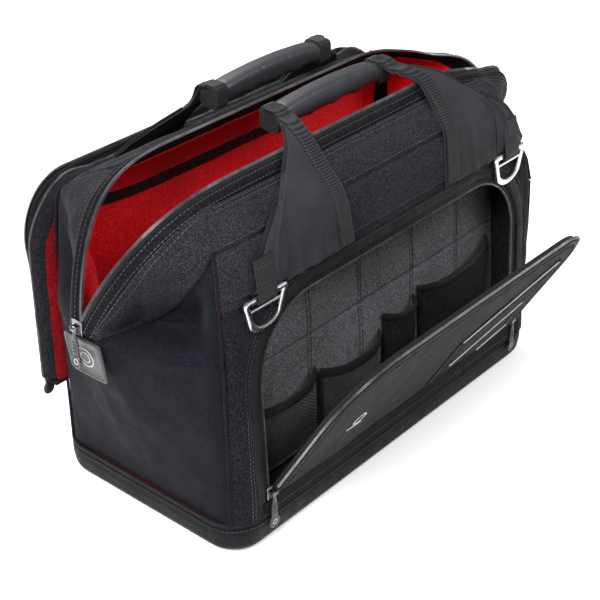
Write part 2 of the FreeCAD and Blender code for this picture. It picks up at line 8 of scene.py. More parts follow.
import bmesh
import bpy
import numpy as np
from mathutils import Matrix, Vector


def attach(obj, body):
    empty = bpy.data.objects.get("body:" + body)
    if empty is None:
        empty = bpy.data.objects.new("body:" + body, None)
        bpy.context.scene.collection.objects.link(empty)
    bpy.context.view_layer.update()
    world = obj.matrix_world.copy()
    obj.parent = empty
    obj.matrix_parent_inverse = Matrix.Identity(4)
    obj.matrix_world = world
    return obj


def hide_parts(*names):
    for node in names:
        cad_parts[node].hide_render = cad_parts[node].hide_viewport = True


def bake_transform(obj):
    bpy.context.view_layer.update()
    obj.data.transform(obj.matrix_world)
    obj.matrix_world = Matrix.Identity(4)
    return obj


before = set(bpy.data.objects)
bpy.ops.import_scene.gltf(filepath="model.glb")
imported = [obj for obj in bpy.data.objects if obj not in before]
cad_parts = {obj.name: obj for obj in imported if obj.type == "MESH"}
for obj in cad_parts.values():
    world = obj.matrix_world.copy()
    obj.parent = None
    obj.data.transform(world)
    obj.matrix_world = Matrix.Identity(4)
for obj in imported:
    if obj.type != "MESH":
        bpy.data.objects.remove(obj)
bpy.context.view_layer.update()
MM = 0.001
WAVES_PER_UNIT = 3.1831
MIRROR = np.array([-1, 1, 1])

# ---- named places of the frame, in millimetres ----
BASE = (480.0, 235.0, 33.0, 34.0, 14.0)
FRONT_FOOT = (-119.0, 33.0)
FRONT_LEAN = math.atan2(14.0, 223.0)
FRONT_ARCH = (200.5, 16.0, 208.0, 75.0)
REAR_ARCH = (246.5, 0.0, 197.0, 68.0)
ZIP_GAP = 14.0
SIDE_X = 236.0
PANEL_X = 232.4
HEM_HALF = 205.0
FRONT_FLAP_TURN = math.radians(34.0)
REAR_FLAP_TURN = math.radians(8.5)
FLAP_THICK = 8.0
GRIPS = {"front": (0.0, -20.0, 352.0), "rear": (0.0, 53.0, 354.0)}
SIGNS = {"front": -1.0, "rear": 1.0}
MOUTH_SPAN = dict(span=((0.0, 0.0, 250.0), (0.0, 0.0, 338.0)), soft=True)
MOUTH_ANGLES = np.concatenate([np.linspace(3.0, 78, 60), np.linspace(79, 90, 16)])
DEEP_SEAM = 37.0
QUILT_PITCH = 24.0
RIGHT_RING_SHIFT = -12.0


# ---- camera, light and floor ----
def make_stage():
    scene = bpy.context.scene
    azimuth, elevation = math.radians(-49.6), math.radians(30.9)
    back = Vector((math.sin(azimuth) * math.cos(elevation), -math.cos(azimuth) * math.cos(elevation),
                   math.sin(elevation)))
    data = bpy.data.cameras.new("camera")
    data.lens, data.sensor_width, data.clip_end = 85.8, 36.0, 50.0
    camera = bpy.data.objects.new("camera", data)
    camera.location = (-0.947, -0.793, 0.862)
    camera.rotation_euler = (-back).to_track_quat("-Z", "Y").to_euler()
    scene.collection.objects.link(camera)
    scene.camera = camera
    scene.view_settings.view_transform = "Standard"

    world = bpy.data.worlds.new("studio")
    world.use_nodes = True
    sky = world.node_tree.nodes["Background"]
    sky.inputs["Color"].default_value = (1.0, 1.0, 1.0, 1)
    sky.inputs["Strength"].default_value = 0.36
    scene.world = world
    for name, place, size, power in (
        ("key", (-1.5, -0.5, 1.9), 0.9, 84.0),
        ("front_fill", (0.6, -1.6, 2.0), 1.0, 34.0),
        ("rim", (0.5, 1.6, 2.0), 1.4, 46.0),
        ("left_fill", (-2.4, 0.9, 1.0), 1.2, 9.0),
    ):
        light = bpy.data.lights.new(name, "AREA")
        light.size, light.energy = size, power
        lamp = bpy.data.objects.new(name, light)
        lamp.location = place
        lamp.rotation_euler = (Vector((0, 0, 0.18)) - Vector(place)).to_track_quat("-Z", "Y").to_euler()
        scene.collection.objects.link(lamp)

    mesh = bpy.data.meshes.new("floor")
    reach = 6.0
    mesh.from_pydata([(-reach, -reach, 0), (reach, -reach, 0), (reach, reach, 0), (-reach, reach, 0)], [],
                     [(0, 1, 2, 3)])
    floor = bpy.data.objects.new("floor", mesh)
    scene.collection.objects.link(floor)
    paper = Finish("floor_paper", 0.9)
    paper.colour(paper.drift(3.0, 3.0, (0.88, 0.88, 0.885), (0.91, 0.91, 0.915)))
    paper.shader.inputs["Emission Color"].default_value = (1.0, 1.0, 1.0, 1.0)
    paper.shader.inputs["Emission Strength"].default_value = 0.32
    mesh.materials.append(paper.material)


# ---- materials ----
class Finish:
    """A node material while it is made."""

    def __init__(self, name, roughness, metallic=0.0, sheen=0.0, coat=0.0, specular=0.5):
        self.material = bpy.data.materials.new(name)
        self.material.use_nodes = True
        self.nodes, self.links = self.material.node_tree.nodes, self.material.node_tree.links
        self.shader = self.nodes["Principled BSDF"]
        self.fill(self.shader, {"Roughness": roughness, "Metallic": metallic, "Sheen Weight": sheen,
                                "Specular IOR Level": specular, "Sheen Roughness": 0.45, "Coat Weight": coat})

    def fill(self, node, inputs):
        """Set or link inputs of a node."""
        for key, value in inputs.items():
            if isinstance(value, bpy.types.NodeSocket):
                self.links.new(value, node.inputs[key])
            else:
                node.inputs[key].default_value = value
        return node

    def node(self, kind, inputs, **settings):
        node = self.nodes.new("ShaderNode" + kind)
        for name, value in settings.items():
            setattr(node, name, value)
        return self.fill(node, inputs)

    def where(self, turn=(0, 0, 0)):
        """Object coordinates, turned."""
        place = self.node("TexCoord", {}).outputs["Object"]
        return self.node("Mapping", {"Rotation": turn, "Vector": place}).outputs["Vector"]

    def noise(self, scale, detail=2.0, rough=0.5):
        return self.node("TexNoise", {"Scale": scale, "Detail": detail, "Roughness": rough,
                                      "Vector": self.where()}).outputs["Fac"]

    def waves(self, ridges, turn, direction, distortion=0.0):
        """Even ridges, so many per metre."""
        return self.node("TexWave", {"Scale": ridges / WAVES_PER_UNIT, "Distortion": distortion, "Detail Scale": 2.0,
                                     "Vector": self.where(turn)}, bands_direction=direction).outputs["Fac"]

    def ramp(self, source, stops):
        """Colours from a value."""
        colours = self.node("ValToRGB", {"Fac": source})
        elements = colours.color_ramp.elements
        while len(elements) < len(stops):
            elements.new(0.5)
        for element, (at, colour) in zip(elements, stops):
            element.position = at
            element.color = (*colour, 1.0)
        return colours.outputs["Color"]

    def drift(self, scale, detail, low, high):
        """A colour that wanders between two over the surface."""
        return self.ramp(self.noise(scale, detail), [(0.3, low), (0.7, high)])

    def maths(self, kind, first, second):
        return self.node("Math", {0: first, 1: second}, operation=kind).outputs["Value"]

    def colour(self, first, second=None):
        """The base colour, or two multiplied."""
        if second:
            first = self.node("Mix", {"Factor": 1.0, "A": first, "B": second}, data_type="RGBA",
                              blend_type="MULTIPLY").outputs["Result"]
        self.fill(self.shader, {"Base Color": first})

    def surface(self, height, depth, strength, rough, scale):
        """Bump from a height, its depth in millimetres, and roughness that varies between two values."""
        bump = self.node("Bump", {"Strength": strength, "Distance": depth * MM, "Height": height})
        spread = self.node("MapRange", {"From Min": 0.3, "From Max": 0.7, "To Min": rough[0], "To Max": rough[1],
                                        "Value": self.noise(scale, 3.0)})
        self.fill(self.shader, {"Normal": bump.outputs["Normal"], "Roughness": spread.outputs["Result"]})
        return self.material


def heather(name, dark, light, turn=(0, 0, 0), sheen=0.03, fleck=520.0, pitch=900.0, rough=(0.72, 0.9)):
    """Plain-woven cloth from yarns of two greys."""
    f = Finish(name, 0.8, sheen=sheen, specular=0.07)
    middle = tuple((a * 0.62 + b * 0.38) for a, b in zip(dark, light))
    f.colour(f.ramp(f.noise(fleck, 1.5, 0.6), [(0.36, dark), (0.52, middle), (0.66, light)]),
             f.drift(14.0, 4.0, (0.82, 0.82, 0.83), (1.12, 1.12, 1.12)))
    weave = f.maths("MULTIPLY", f.waves(pitch, turn, "X"), f.waves(pitch, turn, "Z"))
    return f.surface(f.maths("ADD", weave, f.noise(fleck, 1.0)), 0.22, 0.8, rough, 60.0)


def ribbed(name, dark, light, pitch, turn, depth=0.35, direction="X"):
    """Cloth or webbing woven in ridges; pitch is in ridges per metre."""
    f = Finish(name, 0.5, sheen=0.02, specular=0.10)
    cross = f.waves(pitch * 1.7, (turn[0], turn[1] + 1.57, turn[2]), direction, 0.3)
    height = f.maths("ADD", f.waves(pitch, turn, direction, 0.4), f.maths("MULTIPLY", cross, 0.35))
    f.colour(f.ramp(f.maths("MULTIPLY", height, 0.74), [(0.15, dark), (0.85, light)]),
             f.drift(40.0, 4.0, (0.8, 0.8, 0.8), (1.15, 1.15, 1.15)))
    return f.surface(height, depth, 1.0, (0.42, 0.62), 90.0)


def moulded(name, low, high, rough, depth=0.12, scale=420.0, coat=0.0, metallic=0.0):
    """Rubber, nylon or cast metal with a fine grain."""
    f = Finish(name, rough[0], metallic, coat=coat)
    f.colour(f.drift(55.0, 3.0, low, high))
    height = f.maths("ADD", f.noise(scale, 3.0), f.noise(scale / 9, 2.0))
    return f.surface(height, depth, 0.5, rough, 120.0)


def make_materials():
    """Every finish, by a short name."""
    flat, side = (0.0, 0.0, 0.0), (0.0, 0.0, math.pi / 2)
    metal = dict(depth=0.05, scale=160.0, metallic=1.0)
    return {
        "shell": heather("shell_fabric_heather", (0.0022, 0.0022, 0.0032), (0.0155, 0.0155, 0.0195)),
        "shoulder": heather("shoulder_fabric_heather", (0.005, 0.005, 0.0068), (0.028, 0.028, 0.034), flat, 0.02,
                            760.0),
        "pocket": heather("pocket_wall_heather", (0.052, 0.052, 0.058), (0.165, 0.165, 0.178), flat, 0.05, 620.0),
        "side": heather("end_fabric", (0.0032, 0.0032, 0.0055), (0.0105, 0.0105, 0.0155), side, 0.02, 760.0),
        "base": heather("base_fabric_coated", (0.003, 0.003, 0.004), (0.011, 0.011, 0.014), flat, 0.01,
                        rough=(0.45, 0.62)),
        "red": heather("red_lining_weave", (0.62, 0.004, 0.010), (0.90, 0.014, 0.024), flat, 0.1, 420.0, 1100.0),
        # the red lining darkened all over: painted shade, for a strip that sits in shadow
        "red_painted_shade": heather("red_lining_in_shade", (0.10, 0.001, 0.003), (0.19, 0.003, 0.006), flat, 0.02, 420.0,
                            1100.0),
        "inner": heather("dark_lining_weave", (0.004, 0.004, 0.005), (0.014, 0.014, 0.017), flat, 0.02),
        "hem": heather("hem_band_weave", (0.0022, 0.0022, 0.003), (0.010, 0.010, 0.0125), flat, 0.01),
        "binding": ribbed("binding_tape", (0.004, 0.004, 0.005), (0.017, 0.017, 0.019), 1100.0, (0, 0, 0.785)),
        "tape": ribbed("zip_tape", (0.004, 0.004, 0.005), (0.016, 0.016, 0.018), 1300.0, (0, 0.785, 0)),
        "nylon": ribbed("wing_nylon_twill", (0.008, 0.008, 0.010), (0.036, 0.036, 0.042), 640.0, (0, 0.7, 0), 0.5),
        "webbing": ribbed("webbing_ribs", (0.005, 0.005, 0.006), (0.028, 0.029, 0.032), 480.0, flat, 0.45, "Z"),
        "elastic": ribbed("elastic_band_ribs", (0.004, 0.004, 0.005), (0.020, 0.020, 0.022), 700.0, flat, 0.3),
        "net": moulded("pocket_net_yarn", (0.008, 0.008, 0.009), (0.02, 0.02, 0.022), (0.5, 0.7)),
        "teeth": moulded("zip_coil_nylon", (0.022, 0.022, 0.024), (0.070, 0.070, 0.074), (0.22, 0.36), 0.05),
        "teeth_pale": moulded("zip_coil_metallised", (0.13, 0.13, 0.14), (0.26, 0.26, 0.27), (0.25, 0.4), 0.05,
                              metallic=0.9),
        "thread": moulded("black_thread", (0.010, 0.010, 0.011), (0.030, 0.030, 0.033), (0.5, 0.7)),
        "red_thread": moulded("dark_red_thread", (0.10, 0.003, 0.004), (0.20, 0.006, 0.008), (0.5, 0.7)),
        "grip": moulded("grip_rubber_slate", (0.012, 0.0125, 0.0155), (0.017, 0.018, 0.022), (0.42, 0.56), 0.08),
        "rubber": moulded("patch_rubber_black", (0.010, 0.010, 0.011), (0.020, 0.020, 0.022), (0.34, 0.5), 0.08,
                          coat=0.1),
        "mark": moulded("mark_print_pale", (0.50, 0.50, 0.51), (0.62, 0.62, 0.63), (0.4, 0.55)),
        "piping": moulded("reflective_piping", (0.34, 0.34, 0.36), (0.46, 0.46, 0.48), (0.3, 0.45)),
        "ring": moulded("ring_metal_cast", (0.52, 0.53, 0.55), (0.66, 0.67, 0.69), (0.2, 0.34), 0.06, 160.0,
                        metallic=1.0),
        "slider": moulded("slider_metal_dark", (0.13, 0.13, 0.14), (0.22, 0.22, 0.23), (0.2, 0.32), **metal),
        "slider_silver": moulded("slider_metal_silver", (0.40, 0.41, 0.42), (0.55, 0.56, 0.57), (0.2, 0.32), **metal),
        "steel": moulded("stay_steel_strip", (0.30, 0.31, 0.33), (0.40, 0.41, 0.43), (0.3, 0.45), 0.05,
                         metallic=1.0),
        "board": moulded("board_fibre", (0.05, 0.045, 0.04), (0.08, 0.07, 0.06), (0.7, 0.85), 0.2),
    }


# ---- mesh helpers ----
def points(x, y, z):
    """Three arrays, or numbers, as one array of points."""
    return np.stack(np.broadcast_arrays(np.asarray(x, float), np.asarray(y, float), np.asarray(z, float)), -1)


def unit(v):
    return v / np.maximum(np.linalg.norm(v, axis=-1, keepdims=True), 1e-9)


def bump_at(x, centre, width):
    """A smooth bump, 1 at its centre and 0 beyond its half width."""
    t = np.clip(np.abs(np.asarray(x, float) - centre) / width, 0, 1)
    return (1 - t * t) ** 2


def ease(x, low, high):
    t = np.clip((np.asarray(x, float) - low) / (high - low), 0, 1)
    return t * t * (3 - 2 * t)


def lengths(path):
    """Distance along a path at each of its points."""
    return np.concatenate([[0], np.cumsum(np.linalg.norm(np.diff(path, axis=0), axis=1))])


def sample(table, at, marks=None):
    """Rows of a table at places between its rows, or between the marks of its rows."""
    marks = np.arange(len(table)) if marks is None else marks
    return np.stack([np.interp(at, marks, table[:, k]) for k in range(table.shape[1])], -1)


def curve(knots, step):
    """A smooth line through points, in even steps."""
    knots = np.asarray(knots, float)
    ends = np.vstack([2 * knots[0] - knots[1], knots, 2 * knots[-1] - knots[-2]])
    fine = []
    t = np.linspace(0, 1, 24, endpoint=False)[:, None]
    for a, b, c, d in zip(ends, ends[1:], ends[2:], ends[3:]):
        fine.append(0.5 * (2 * b + (c - a) * t + (2 * a - 5 * b + 4 * c - d) * t ** 2
                           + (3 * b - a - 3 * c + d) * t ** 3))
    return even(np.vstack([*fine, knots[-1:]]), step)


def even(path, step, closed=False):
    """A line cut into even steps."""
    path = np.asarray(path, float)
    if closed:
        path = np.vstack([path, path[:1]])
    along = lengths(path)
    count = max(int(round(along[-1] / step)), 2)
    at = np.linspace(0, along[-1], count + 1)
    return sample(path, at[:-1] if closed else at, along)


def normals_of(grid):
    """Normals of a grid of points, rows by columns."""
    return unit(np.cross(np.gradient(grid, axis=1), np.gradient(grid, axis=0)))


def facing(grid, towards):
    """Normals of a grid of points, on the side that looks a given way at its middle."""
    normal = normals_of(grid)
    return normal * np.sign(np.sum(normal[len(grid) // 2, grid.shape[1] // 2] * towards))


def ring_section(width, depth, count=12, power=2.6):
    """A rounded flat section: width sideways, depth up."""
    a = np.linspace(0, 2 * math.pi, count, endpoint=False)
    c, s = np.cos(a), np.sin(a)
    return np.stack([np.sign(c) * np.abs(c) ** (2 / power) * width / 2,
                     np.sign(s) * np.abs(s) ** (2 / power) * depth / 2], -1)


def settled(verts):
    """The right end of an empty, open bag sinks inward a little: how its soft parts sit."""
    x, y, z = verts[:, 0], verts[:, 1], verts[:, 2]
    front_pull = np.interp(z, [150, 203, 230, 257, 283, 302, 341], [0, 4, 9, 24, 40, 43, 40])
    rear_pull = np.interp(z, [255, 300, 315, 341], [0, 12, 32, 42])
    share = ease(y, -20, 60)
    start = 205.0 - 110.0 * ease(z, 243, 288)
    reach = np.clip((x - start) / (np.where(z > 243, 225.0, 236.0) - start), 0, 1)
    amount = reach * reach * (3 - 2 * reach) * (1 - 0.9 * ease(x, 246, 292))
    drop = 8.0 * amount * ease(z, 285, 341)
    moved = verts.copy()
    moved[:, 0] -= amount * (front_pull * (1 - share) + rear_pull * share)
    moved[:, 2] -= drop
    return moved


ROUND_EDGE = 0.3
BLOCK_TAPER = 0.7


class Build:
    """Vertices and faces in millimetres, gathered into one piece."""

    def __init__(self):
        self.verts, self.faces, self.count = [], [], 0

    def add(self, verts, faces):
        verts = np.asarray(verts, float).reshape(-1, 3)
        faces = [np.asarray(f, int) for f in faces]
        first = verts.mean(0)
        volume = 0.0
        for f in faces:
            p = verts[f] - first
            for i in range(1, len(f) - 1):
                volume += float(np.dot(p[0], np.cross(p[i], p[i + 1])))
        if volume < 0:
            faces = [f[::-1] for f in faces]
        self.faces += [tuple(int(i) + self.count for i in f) for f in faces]
        self.verts.append(verts)
        self.count += len(verts)
        return self

    def loft(self, rows):
        """A solid through closed rings of points, with flat ends."""
        grid = np.array(rows)
        m, k = grid.shape[:2]
        index = np.arange(m * k).reshape(m, k)
        faces = np.stack([index[:-1], np.roll(index[:-1], -1, 1), np.roll(index[1:], -1, 1), index[1:]], -1)
        return self.add(grid, faces.reshape(-1, 4).tolist() + [index[0].tolist(), index[-1].tolist()])

    def slab(self, outer, inner):
        """A closed sheet between two grids of points, with a rounded edge."""
        outer, inner = np.asarray(outer, float), np.asarray(inner, float)
        m, n = outer.shape[:2]
        index = np.arange(m * n).reshape(m, n)
        rim = np.concatenate([index[0, :-1], index[:-1, -1], index[-1, :0:-1], index[:0:-1, 0]])
        inward = np.concatenate([index[1, :-1], index[:-1, -2], index[-2, :0:-1], index[:0:-1, 1]])
        flat_out, flat_in = outer.reshape(-1, 3), inner.reshape(-1, 3)
        middle = (flat_out[rim] + flat_in[rim]) / 2
        thick = np.linalg.norm(flat_out[rim] - flat_in[rim], axis=-1, keepdims=True)
        away = unit(flat_out[rim] - flat_out[inward] + flat_in[rim] - flat_in[inward])
        middle = middle + away * thick * ROUND_EDGE
        verts = np.vstack([flat_out, flat_in, middle])
        a, b, c, d = index[:-1, :-1].ravel(), index[:-1, 1:].ravel(), index[1:, 1:].ravel(), index[1:, :-1].ravel()
        top = np.stack([a, b, c, d], -1)
        low = np.stack([d, c, b, a], -1) + m * n
        k = len(rim)
        one = np.arange(k)
        two = (one + 1) % k
        mid = 2 * m * n
        strip_out = np.stack([rim[two], rim[one], mid + one, mid + two], -1)
        strip_in = np.stack([mid + two, mid + one, rim[one] + m * n, rim[two] + m * n], -1)
        faces = np.vstack([top, low, strip_out, strip_in])
        p, q, r, s = np.moveaxis((verts - verts.mean(0))[faces], 1, 0)
        if np.sum(p * np.cross(q, r)) + np.sum(p * np.cross(r, s)) < 0:
            faces = faces[:, ::-1]
        self.faces += [tuple(f) for f in (faces + self.count).tolist()]
        self.verts.append(verts)
        self.count += len(verts)
        return self

    def sweep(self, path, section, up, closed=False):
        """A section carried along a path; up is one direction or one for each point."""
        path = np.asarray(path, float)
        n, k = len(path), len(section)
        ahead = np.roll(path, -1, 0) - np.roll(path, 1, 0)
        if not closed:
            ahead[0], ahead[-1] = path[1] - path[0], path[-1] - path[-2]
        ahead = unit(ahead)
        up = np.broadcast_to(np.asarray(up, float), path.shape)
        sideways = unit(np.cross(ahead, up))
        upward = np.cross(sideways, ahead)
        section = section[None]
        verts = path[:, None] + sideways[:, None] * section[..., :1] + upward[:, None] * section[..., 1:2]
        index = np.arange(n * k).reshape(n, k)
        nxt = np.roll(index, -1, 0) if closed else index[1:]
        cur = index if closed else index[:-1]
        faces = np.stack([cur, np.roll(cur, -1, 1), np.roll(nxt, -1, 1), nxt], -1).reshape(-1, 4).tolist()
        if not closed:
            faces += [list(index[0][::-1]), list(index[-1])]
        return self.add(verts, faces)

    def blocks(self, centres, ahead, across, up, size):
        """Many small rounded blocks, such as zip teeth or stitches: size is along, across and up."""
        centres, ahead, across, up = (np.asarray(a, float).reshape(-1, 3) for a in (centres, ahead, across, up))
        a, b, c = (s / 2 for s in size)
        ends = [(-a, BLOCK_TAPER), (-a / 2, 1.0), (a / 2, 1.0), (a, BLOCK_TAPER)]
        corners = ((-1, -1), (1, -1), (1, 1), (-1, 1))
        shape = np.array([[x, b * j * t, c * k * t] for x, t in ends for j, k in corners])
        verts = (centres[:, None] + ahead[:, None] * shape[:, :1] + across[:, None] * shape[:, 1:2]
                 + up[:, None] * shape[:, 2:3])
        quads = [[0, 1, 2, 3], [15, 14, 13, 12]]
        for r in (0, 4, 8):
            for i in range(4):
                j = (i + 1) % 4
                quads.append([r + i, r + 4 + i, r + 4 + j, r + j])
        quads = np.array(quads)
        turned = np.einsum("ij,ij->i", np.cross(ahead, across), up) > 0
        for i, flip in enumerate(turned.tolist()):
            ring = quads[:, ::-1] if flip else quads
            self.faces += [tuple(f) for f in (ring + self.count + i * 16).tolist()]
        self.verts.append(verts.reshape(-1, 3))
        self.count += len(centres) * 16
        return self

    def both(self):
        """The same on the other end of the bag too."""
        verts = np.vstack(self.verts)
        flipped = verts * MIRROR
        self.faces += [tuple(i + self.count for i in f[::-1]) for f in self.faces]
        self.verts = [verts, flipped]
        self.count *= 2
        return self

    def shifted(self, x):
        """A copy further along the bag."""
        return Build().add(np.vstack(self.verts) + np.array([x, 0, 0]), self.faces)

    def with_right(self, x):
        """The left one in its place, and the right one further along by x."""
        return self.mirrored().add(np.vstack(self.verts) + np.array([x, 0, 0]), self.faces)

    def mirrored(self):
        """A copy on the other end of the bag."""
        other = Build()
        other.verts = [np.vstack(self.verts) * MIRROR]
        other.faces = [f[::-1] for f in self.faces]
        other.count = self.count
        return other

    def piece(self, name, finish, body="bag_body", slot="shell_fabric", nodes=(), sharp=38.0, span=None, soft=False):
        """Make the piece; it rides on a body, or, given two bodies, stays where it is made without a parent. The span
        is not used.
        """
        mesh = bpy.data.meshes.new(name)
        verts = np.vstack(self.verts)
        mesh.from_pydata(((settled(verts) if soft else verts) * MM).tolist(), [], self.faces)
        mesh.polygons.foreach_set("use_smooth", [True] * len(mesh.polygons))
        mesh.set_sharp_from_angle(angle=math.radians(sharp))
        mesh.materials.append(FINISH[finish])
        piece = bpy.data.objects.new(name, mesh)
        bpy.context.scene.collection.objects.link(piece)
        if nodes:
            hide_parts(*nodes)
        if isinstance(body, tuple):
            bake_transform(piece)
        else:
            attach(piece, body)
        return piece


FINISH = make_materials()
make_stage()


# ---- places on the bag ----
def front(x, y, s):
    """A point of the front panel: along it, inward from its face, and up its slope."""
    c, n = math.cos(FRONT_LEAN), math.sin(FRONT_LEAN)
    y, s = np.asarray(y, float), np.asarray(s, float)
    return points(x, FRONT_FOOT[0] + c * y + n * s, FRONT_FOOT[1] + c * s - n * y)


def front_flap(x, y, s):
    """A point of the open front flap."""
    c, n = math.cos(FRONT_FLAP_TURN), math.sin(FRONT_FLAP_TURN)
    y, s = np.asarray(y, float) + 0.5, np.asarray(s, float) - 15.5
    return front(x, -0.5 + c * y - n * s, 15.5 + n * y + c * s)


FRONT_OUT, FRONT_UP = front(0, -1, 0) - front(0, 0, 0), front(0, 0, 1) - front(0, 0, 0)
FLAP_OUT = front_flap(0, -1, 0) - front_flap(0, 0, 0)


def rear(x, y, s):
    """A point of the rear compartment's zip plane, inward from its face."""
    return points(-np.asarray(x, float), 121.0 - np.asarray(y, float), 105.0 + np.asarray(s, float))


def rear_flap(x, y, s):
    """A point of the rear flap, a little open."""
    c, n = math.cos(REAR_FLAP_TURN), math.sin(REAR_FLAP_TURN)
    y, s = np.asarray(y, float) + 0.5, np.asarray(s, float)
    return rear(x, -0.5 + c * y - n * s, n * y + c * s)


def front_y(z):
    return -119.0 + 14.0 * (np.asarray(z, float) - 33.0) / 223.0


def rear_y(z):
    return np.interp(z, [33.0, 250.0, 301.0], [118.0, 104.0, 95.0])


def corner_radius(z):
    """The bag's upright corners are rounder near the base."""
    return 30.0 - 16.0 * np.clip((np.asarray(z, float) - 33.0) / 180.0, 0, 1)


def set_back(x, z):
    """How far a wall has turned in at a distance along it, near a corner."""
    r = corner_radius(z)
    d = np.clip(np.abs(x) - (SIDE_X - r), 0, r * 0.98)
    return r - np.sqrt(r * r - d * d)


def rumple(u, v, size, seed):
    """A smooth uneven field, about -1 to 1."""
    random = np.random.default_rng(seed)
    total = 0.0
    for _ in range(7):
        angle, pitch, phase = random.uniform(0, 6.28), random.uniform(0.6, 1.7), random.uniform(0, 6.28)
        total = total + np.sin(6.28 / (size * pitch) * (u * math.cos(angle) + v * math.sin(angle)) + phase)
    return total / 4.0


def arch_line(half, low, high, radius, sides=44, corner=26, top=90):
    """Points (x, s) up one side of an arch, over it and down the other."""
    a = np.linspace(0, math.pi / 2, corner, endpoint=False)
    x = np.concatenate([np.full(sides, half), half - radius + radius * np.cos(a)])
    s = np.concatenate([np.linspace(low, high - radius, sides, endpoint=False), high - radius + radius * np.sin(a)])
    across = np.linspace(half - radius, radius - half, top)
    return np.stack([np.concatenate([x, across, -x[::-1]]), np.concatenate([s, np.full(top, high), s[::-1]])], -1)


def arch_area(half, low, high, radius, across, up):
    """A grid (x, s) that fills an arch."""
    a = np.linspace(0, math.pi / 2, max(up // 4, 10))
    s = np.concatenate([np.linspace(low, high - radius, up, endpoint=False), high - radius + radius * np.sin(a)])
    width = np.concatenate([np.full(up, half), half - radius + radius * np.cos(a)])
    share = np.linspace(-1, 1, across)
    return np.outer(width, share), np.repeat(s[:, None], across, 1)


class Panel:
    """A curved wall: a base surface in two distances, and a relief that stands proud of it."""

    def __init__(self, base, relief=None, flip=1.0):
        self.base, self.relief, self.flip = base, relief, flip

    def normal(self, u, v):
        h = 0.4
        along = self.base(u + h, v) - self.base(u - h, v)
        up = self.base(u, v + h) - self.base(u, v - h)
        return unit(np.cross(along, up)) * self.flip

    def at(self, u, v, lift=0.0, bare=False):
        u, v = np.broadcast_arrays(np.asarray(u, float), np.asarray(v, float))
        rise = lift if bare or self.relief is None else self.relief(u, v) + lift
        return self.base(u, v) + self.normal(u, v) * np.broadcast_to(rise, u.shape)[..., None]

    def skin(self, u, v, thick, build=None):
        """The wall as cloth of a thickness."""
        return (build or Build()).slab(self.at(u, v), self.at(u, v, -thick, True))

    def seam(self, build, u, v, pitch=4.4, size=(3.0, 0.7, 0.5), lift=0.12):
        """A row of stitches along a line of the panel."""
        uv = even(np.stack(np.broadcast_arrays(np.asarray(u, float), np.asarray(v, float)), -1), pitch / 3)
        path = self.at(uv[:, 0], uv[:, 1], lift)
        along = lengths(path)
        count = max(int(along[-1] / pitch), 1)
        spot = np.interp((np.arange(count) + 0.5) * along[-1] / count, along, np.arange(len(path)))
        centre, ahead = sample(path, spot), unit(sample(np.gradient(path, axis=0), spot))
        normal = self.normal(*sample(uv, spot).T)
        across = unit(np.cross(normal, ahead))
        return build.blocks(centre, ahead, across, normal, size)


def teeth_row(build, path, across, up, pitch=1.7, size=(1.0, 2.6, 2.0)):
    """Zip teeth along a path; across points over the chain and up away from the cloth."""
    along = lengths(path)
    count = int(along[-1] / pitch)
    spot = np.interp((np.arange(count) + 0.5) * along[-1] / count, along, np.arange(len(path)))
    across, up = (sample(np.broadcast_to(a, path.shape), spot) for a in (across, up))
    centre, ahead, sideways = sample(path, spot), unit(sample(np.gradient(path, axis=0), spot)), unit(across)
    upward = unit(np.cross(ahead, sideways))
    upward = upward * np.sign(np.sum(upward * up, -1, keepdims=True))
    sideways = unit(np.cross(upward, ahead))
    return build.blocks(centre, ahead, sideways, upward, size)


# ---- base ----
def round_rectangle(length, width, corner, inset=0.0, per_corner=12, per_side=30):
    """A closed outline of (x, y) points."""
    half_x, half_y, r = length / 2 - inset, width / 2 - inset, max(corner - inset, 1.0)
    loop = []
    for sx, sy, start in ((1, 1, 0), (-1, 1, 90), (-1, -1, 180), (1, -1, 270)):
        for a in np.radians(np.linspace(start, start + 90, per_corner)):
            loop.append((sx * (half_x - r) + r * math.cos(a), sy * (half_y - r) + r * math.sin(a)))
    loop = np.array(loop)
    parts = []
    for i in range(4):
        here = loop[i * per_corner:(i + 1) * per_corner]
        there = loop[((i + 1) * per_corner) % len(loop)]
        t = np.linspace(0, 1, per_side, endpoint=False)[1:, None]
        parts += [here, here[-1] + (there - here[-1]) * t]
    return np.vstack(parts)


def make_base():
    length, width, _, corner, edge = BASE

    def outline(inset, z):
        loop = round_rectangle(length, width, corner, inset)
        return np.column_stack([loop, np.full(len(loop), z)])

    rings = [(edge * (1 - math.sin(a)), edge * (1 - math.cos(a))) for a in np.linspace(0, math.pi / 2, 8)]
    rings += [(-0.6, 18.0), (-1.0, 22.0), (-0.6, 27.0), (0.3, 31.0), (1.6, 32.8), (3.4, 32.6), (4.0, 30.0),
              (4.0, 18.0), (6.0, 10.0), (12.0, 4.6), (18.0, 4.2)]
    shell = Build().loft([outline(inset, z) for inset, z in rings])
    shell.piece("base_shell", "base", "bag_body", "base_fabric", ["base_tray"])
    cord = Build().sweep(outline(0.8, 33.4), ring_section(3.8, 3.8, 10, 2), (0, 0, 1), True)
    cord.piece("base_piping", "binding")
    path = even(outline(-0.75, 27.6), 4.4, True)
    ahead = unit(np.roll(path, -1, 0) - np.roll(path, 1, 0))
    rise = np.broadcast_to((0, 0, 1.0), path.shape)
    thread = Build().blocks(path, ahead, rise, unit(np.cross(ahead, rise)), (3.0, 0.7, 0.6))
    thread.piece("base_stitching", "thread")

    x, y = np.meshgrid(np.linspace(-222, 222, 90), np.linspace(-74, 98, 40))
    floor = Panel(lambda u, v: points(u, v, 9.3), lambda u, v: 0.5 * rumple(u, v, 60, 3))
    floor.skin(x, y, 1.2).piece("floor_lining", "red", "bag_body", "red_lining", ["lining_floor"])
    bpy.data.objects["base_board"].data.materials[0] = FINISH["board"]


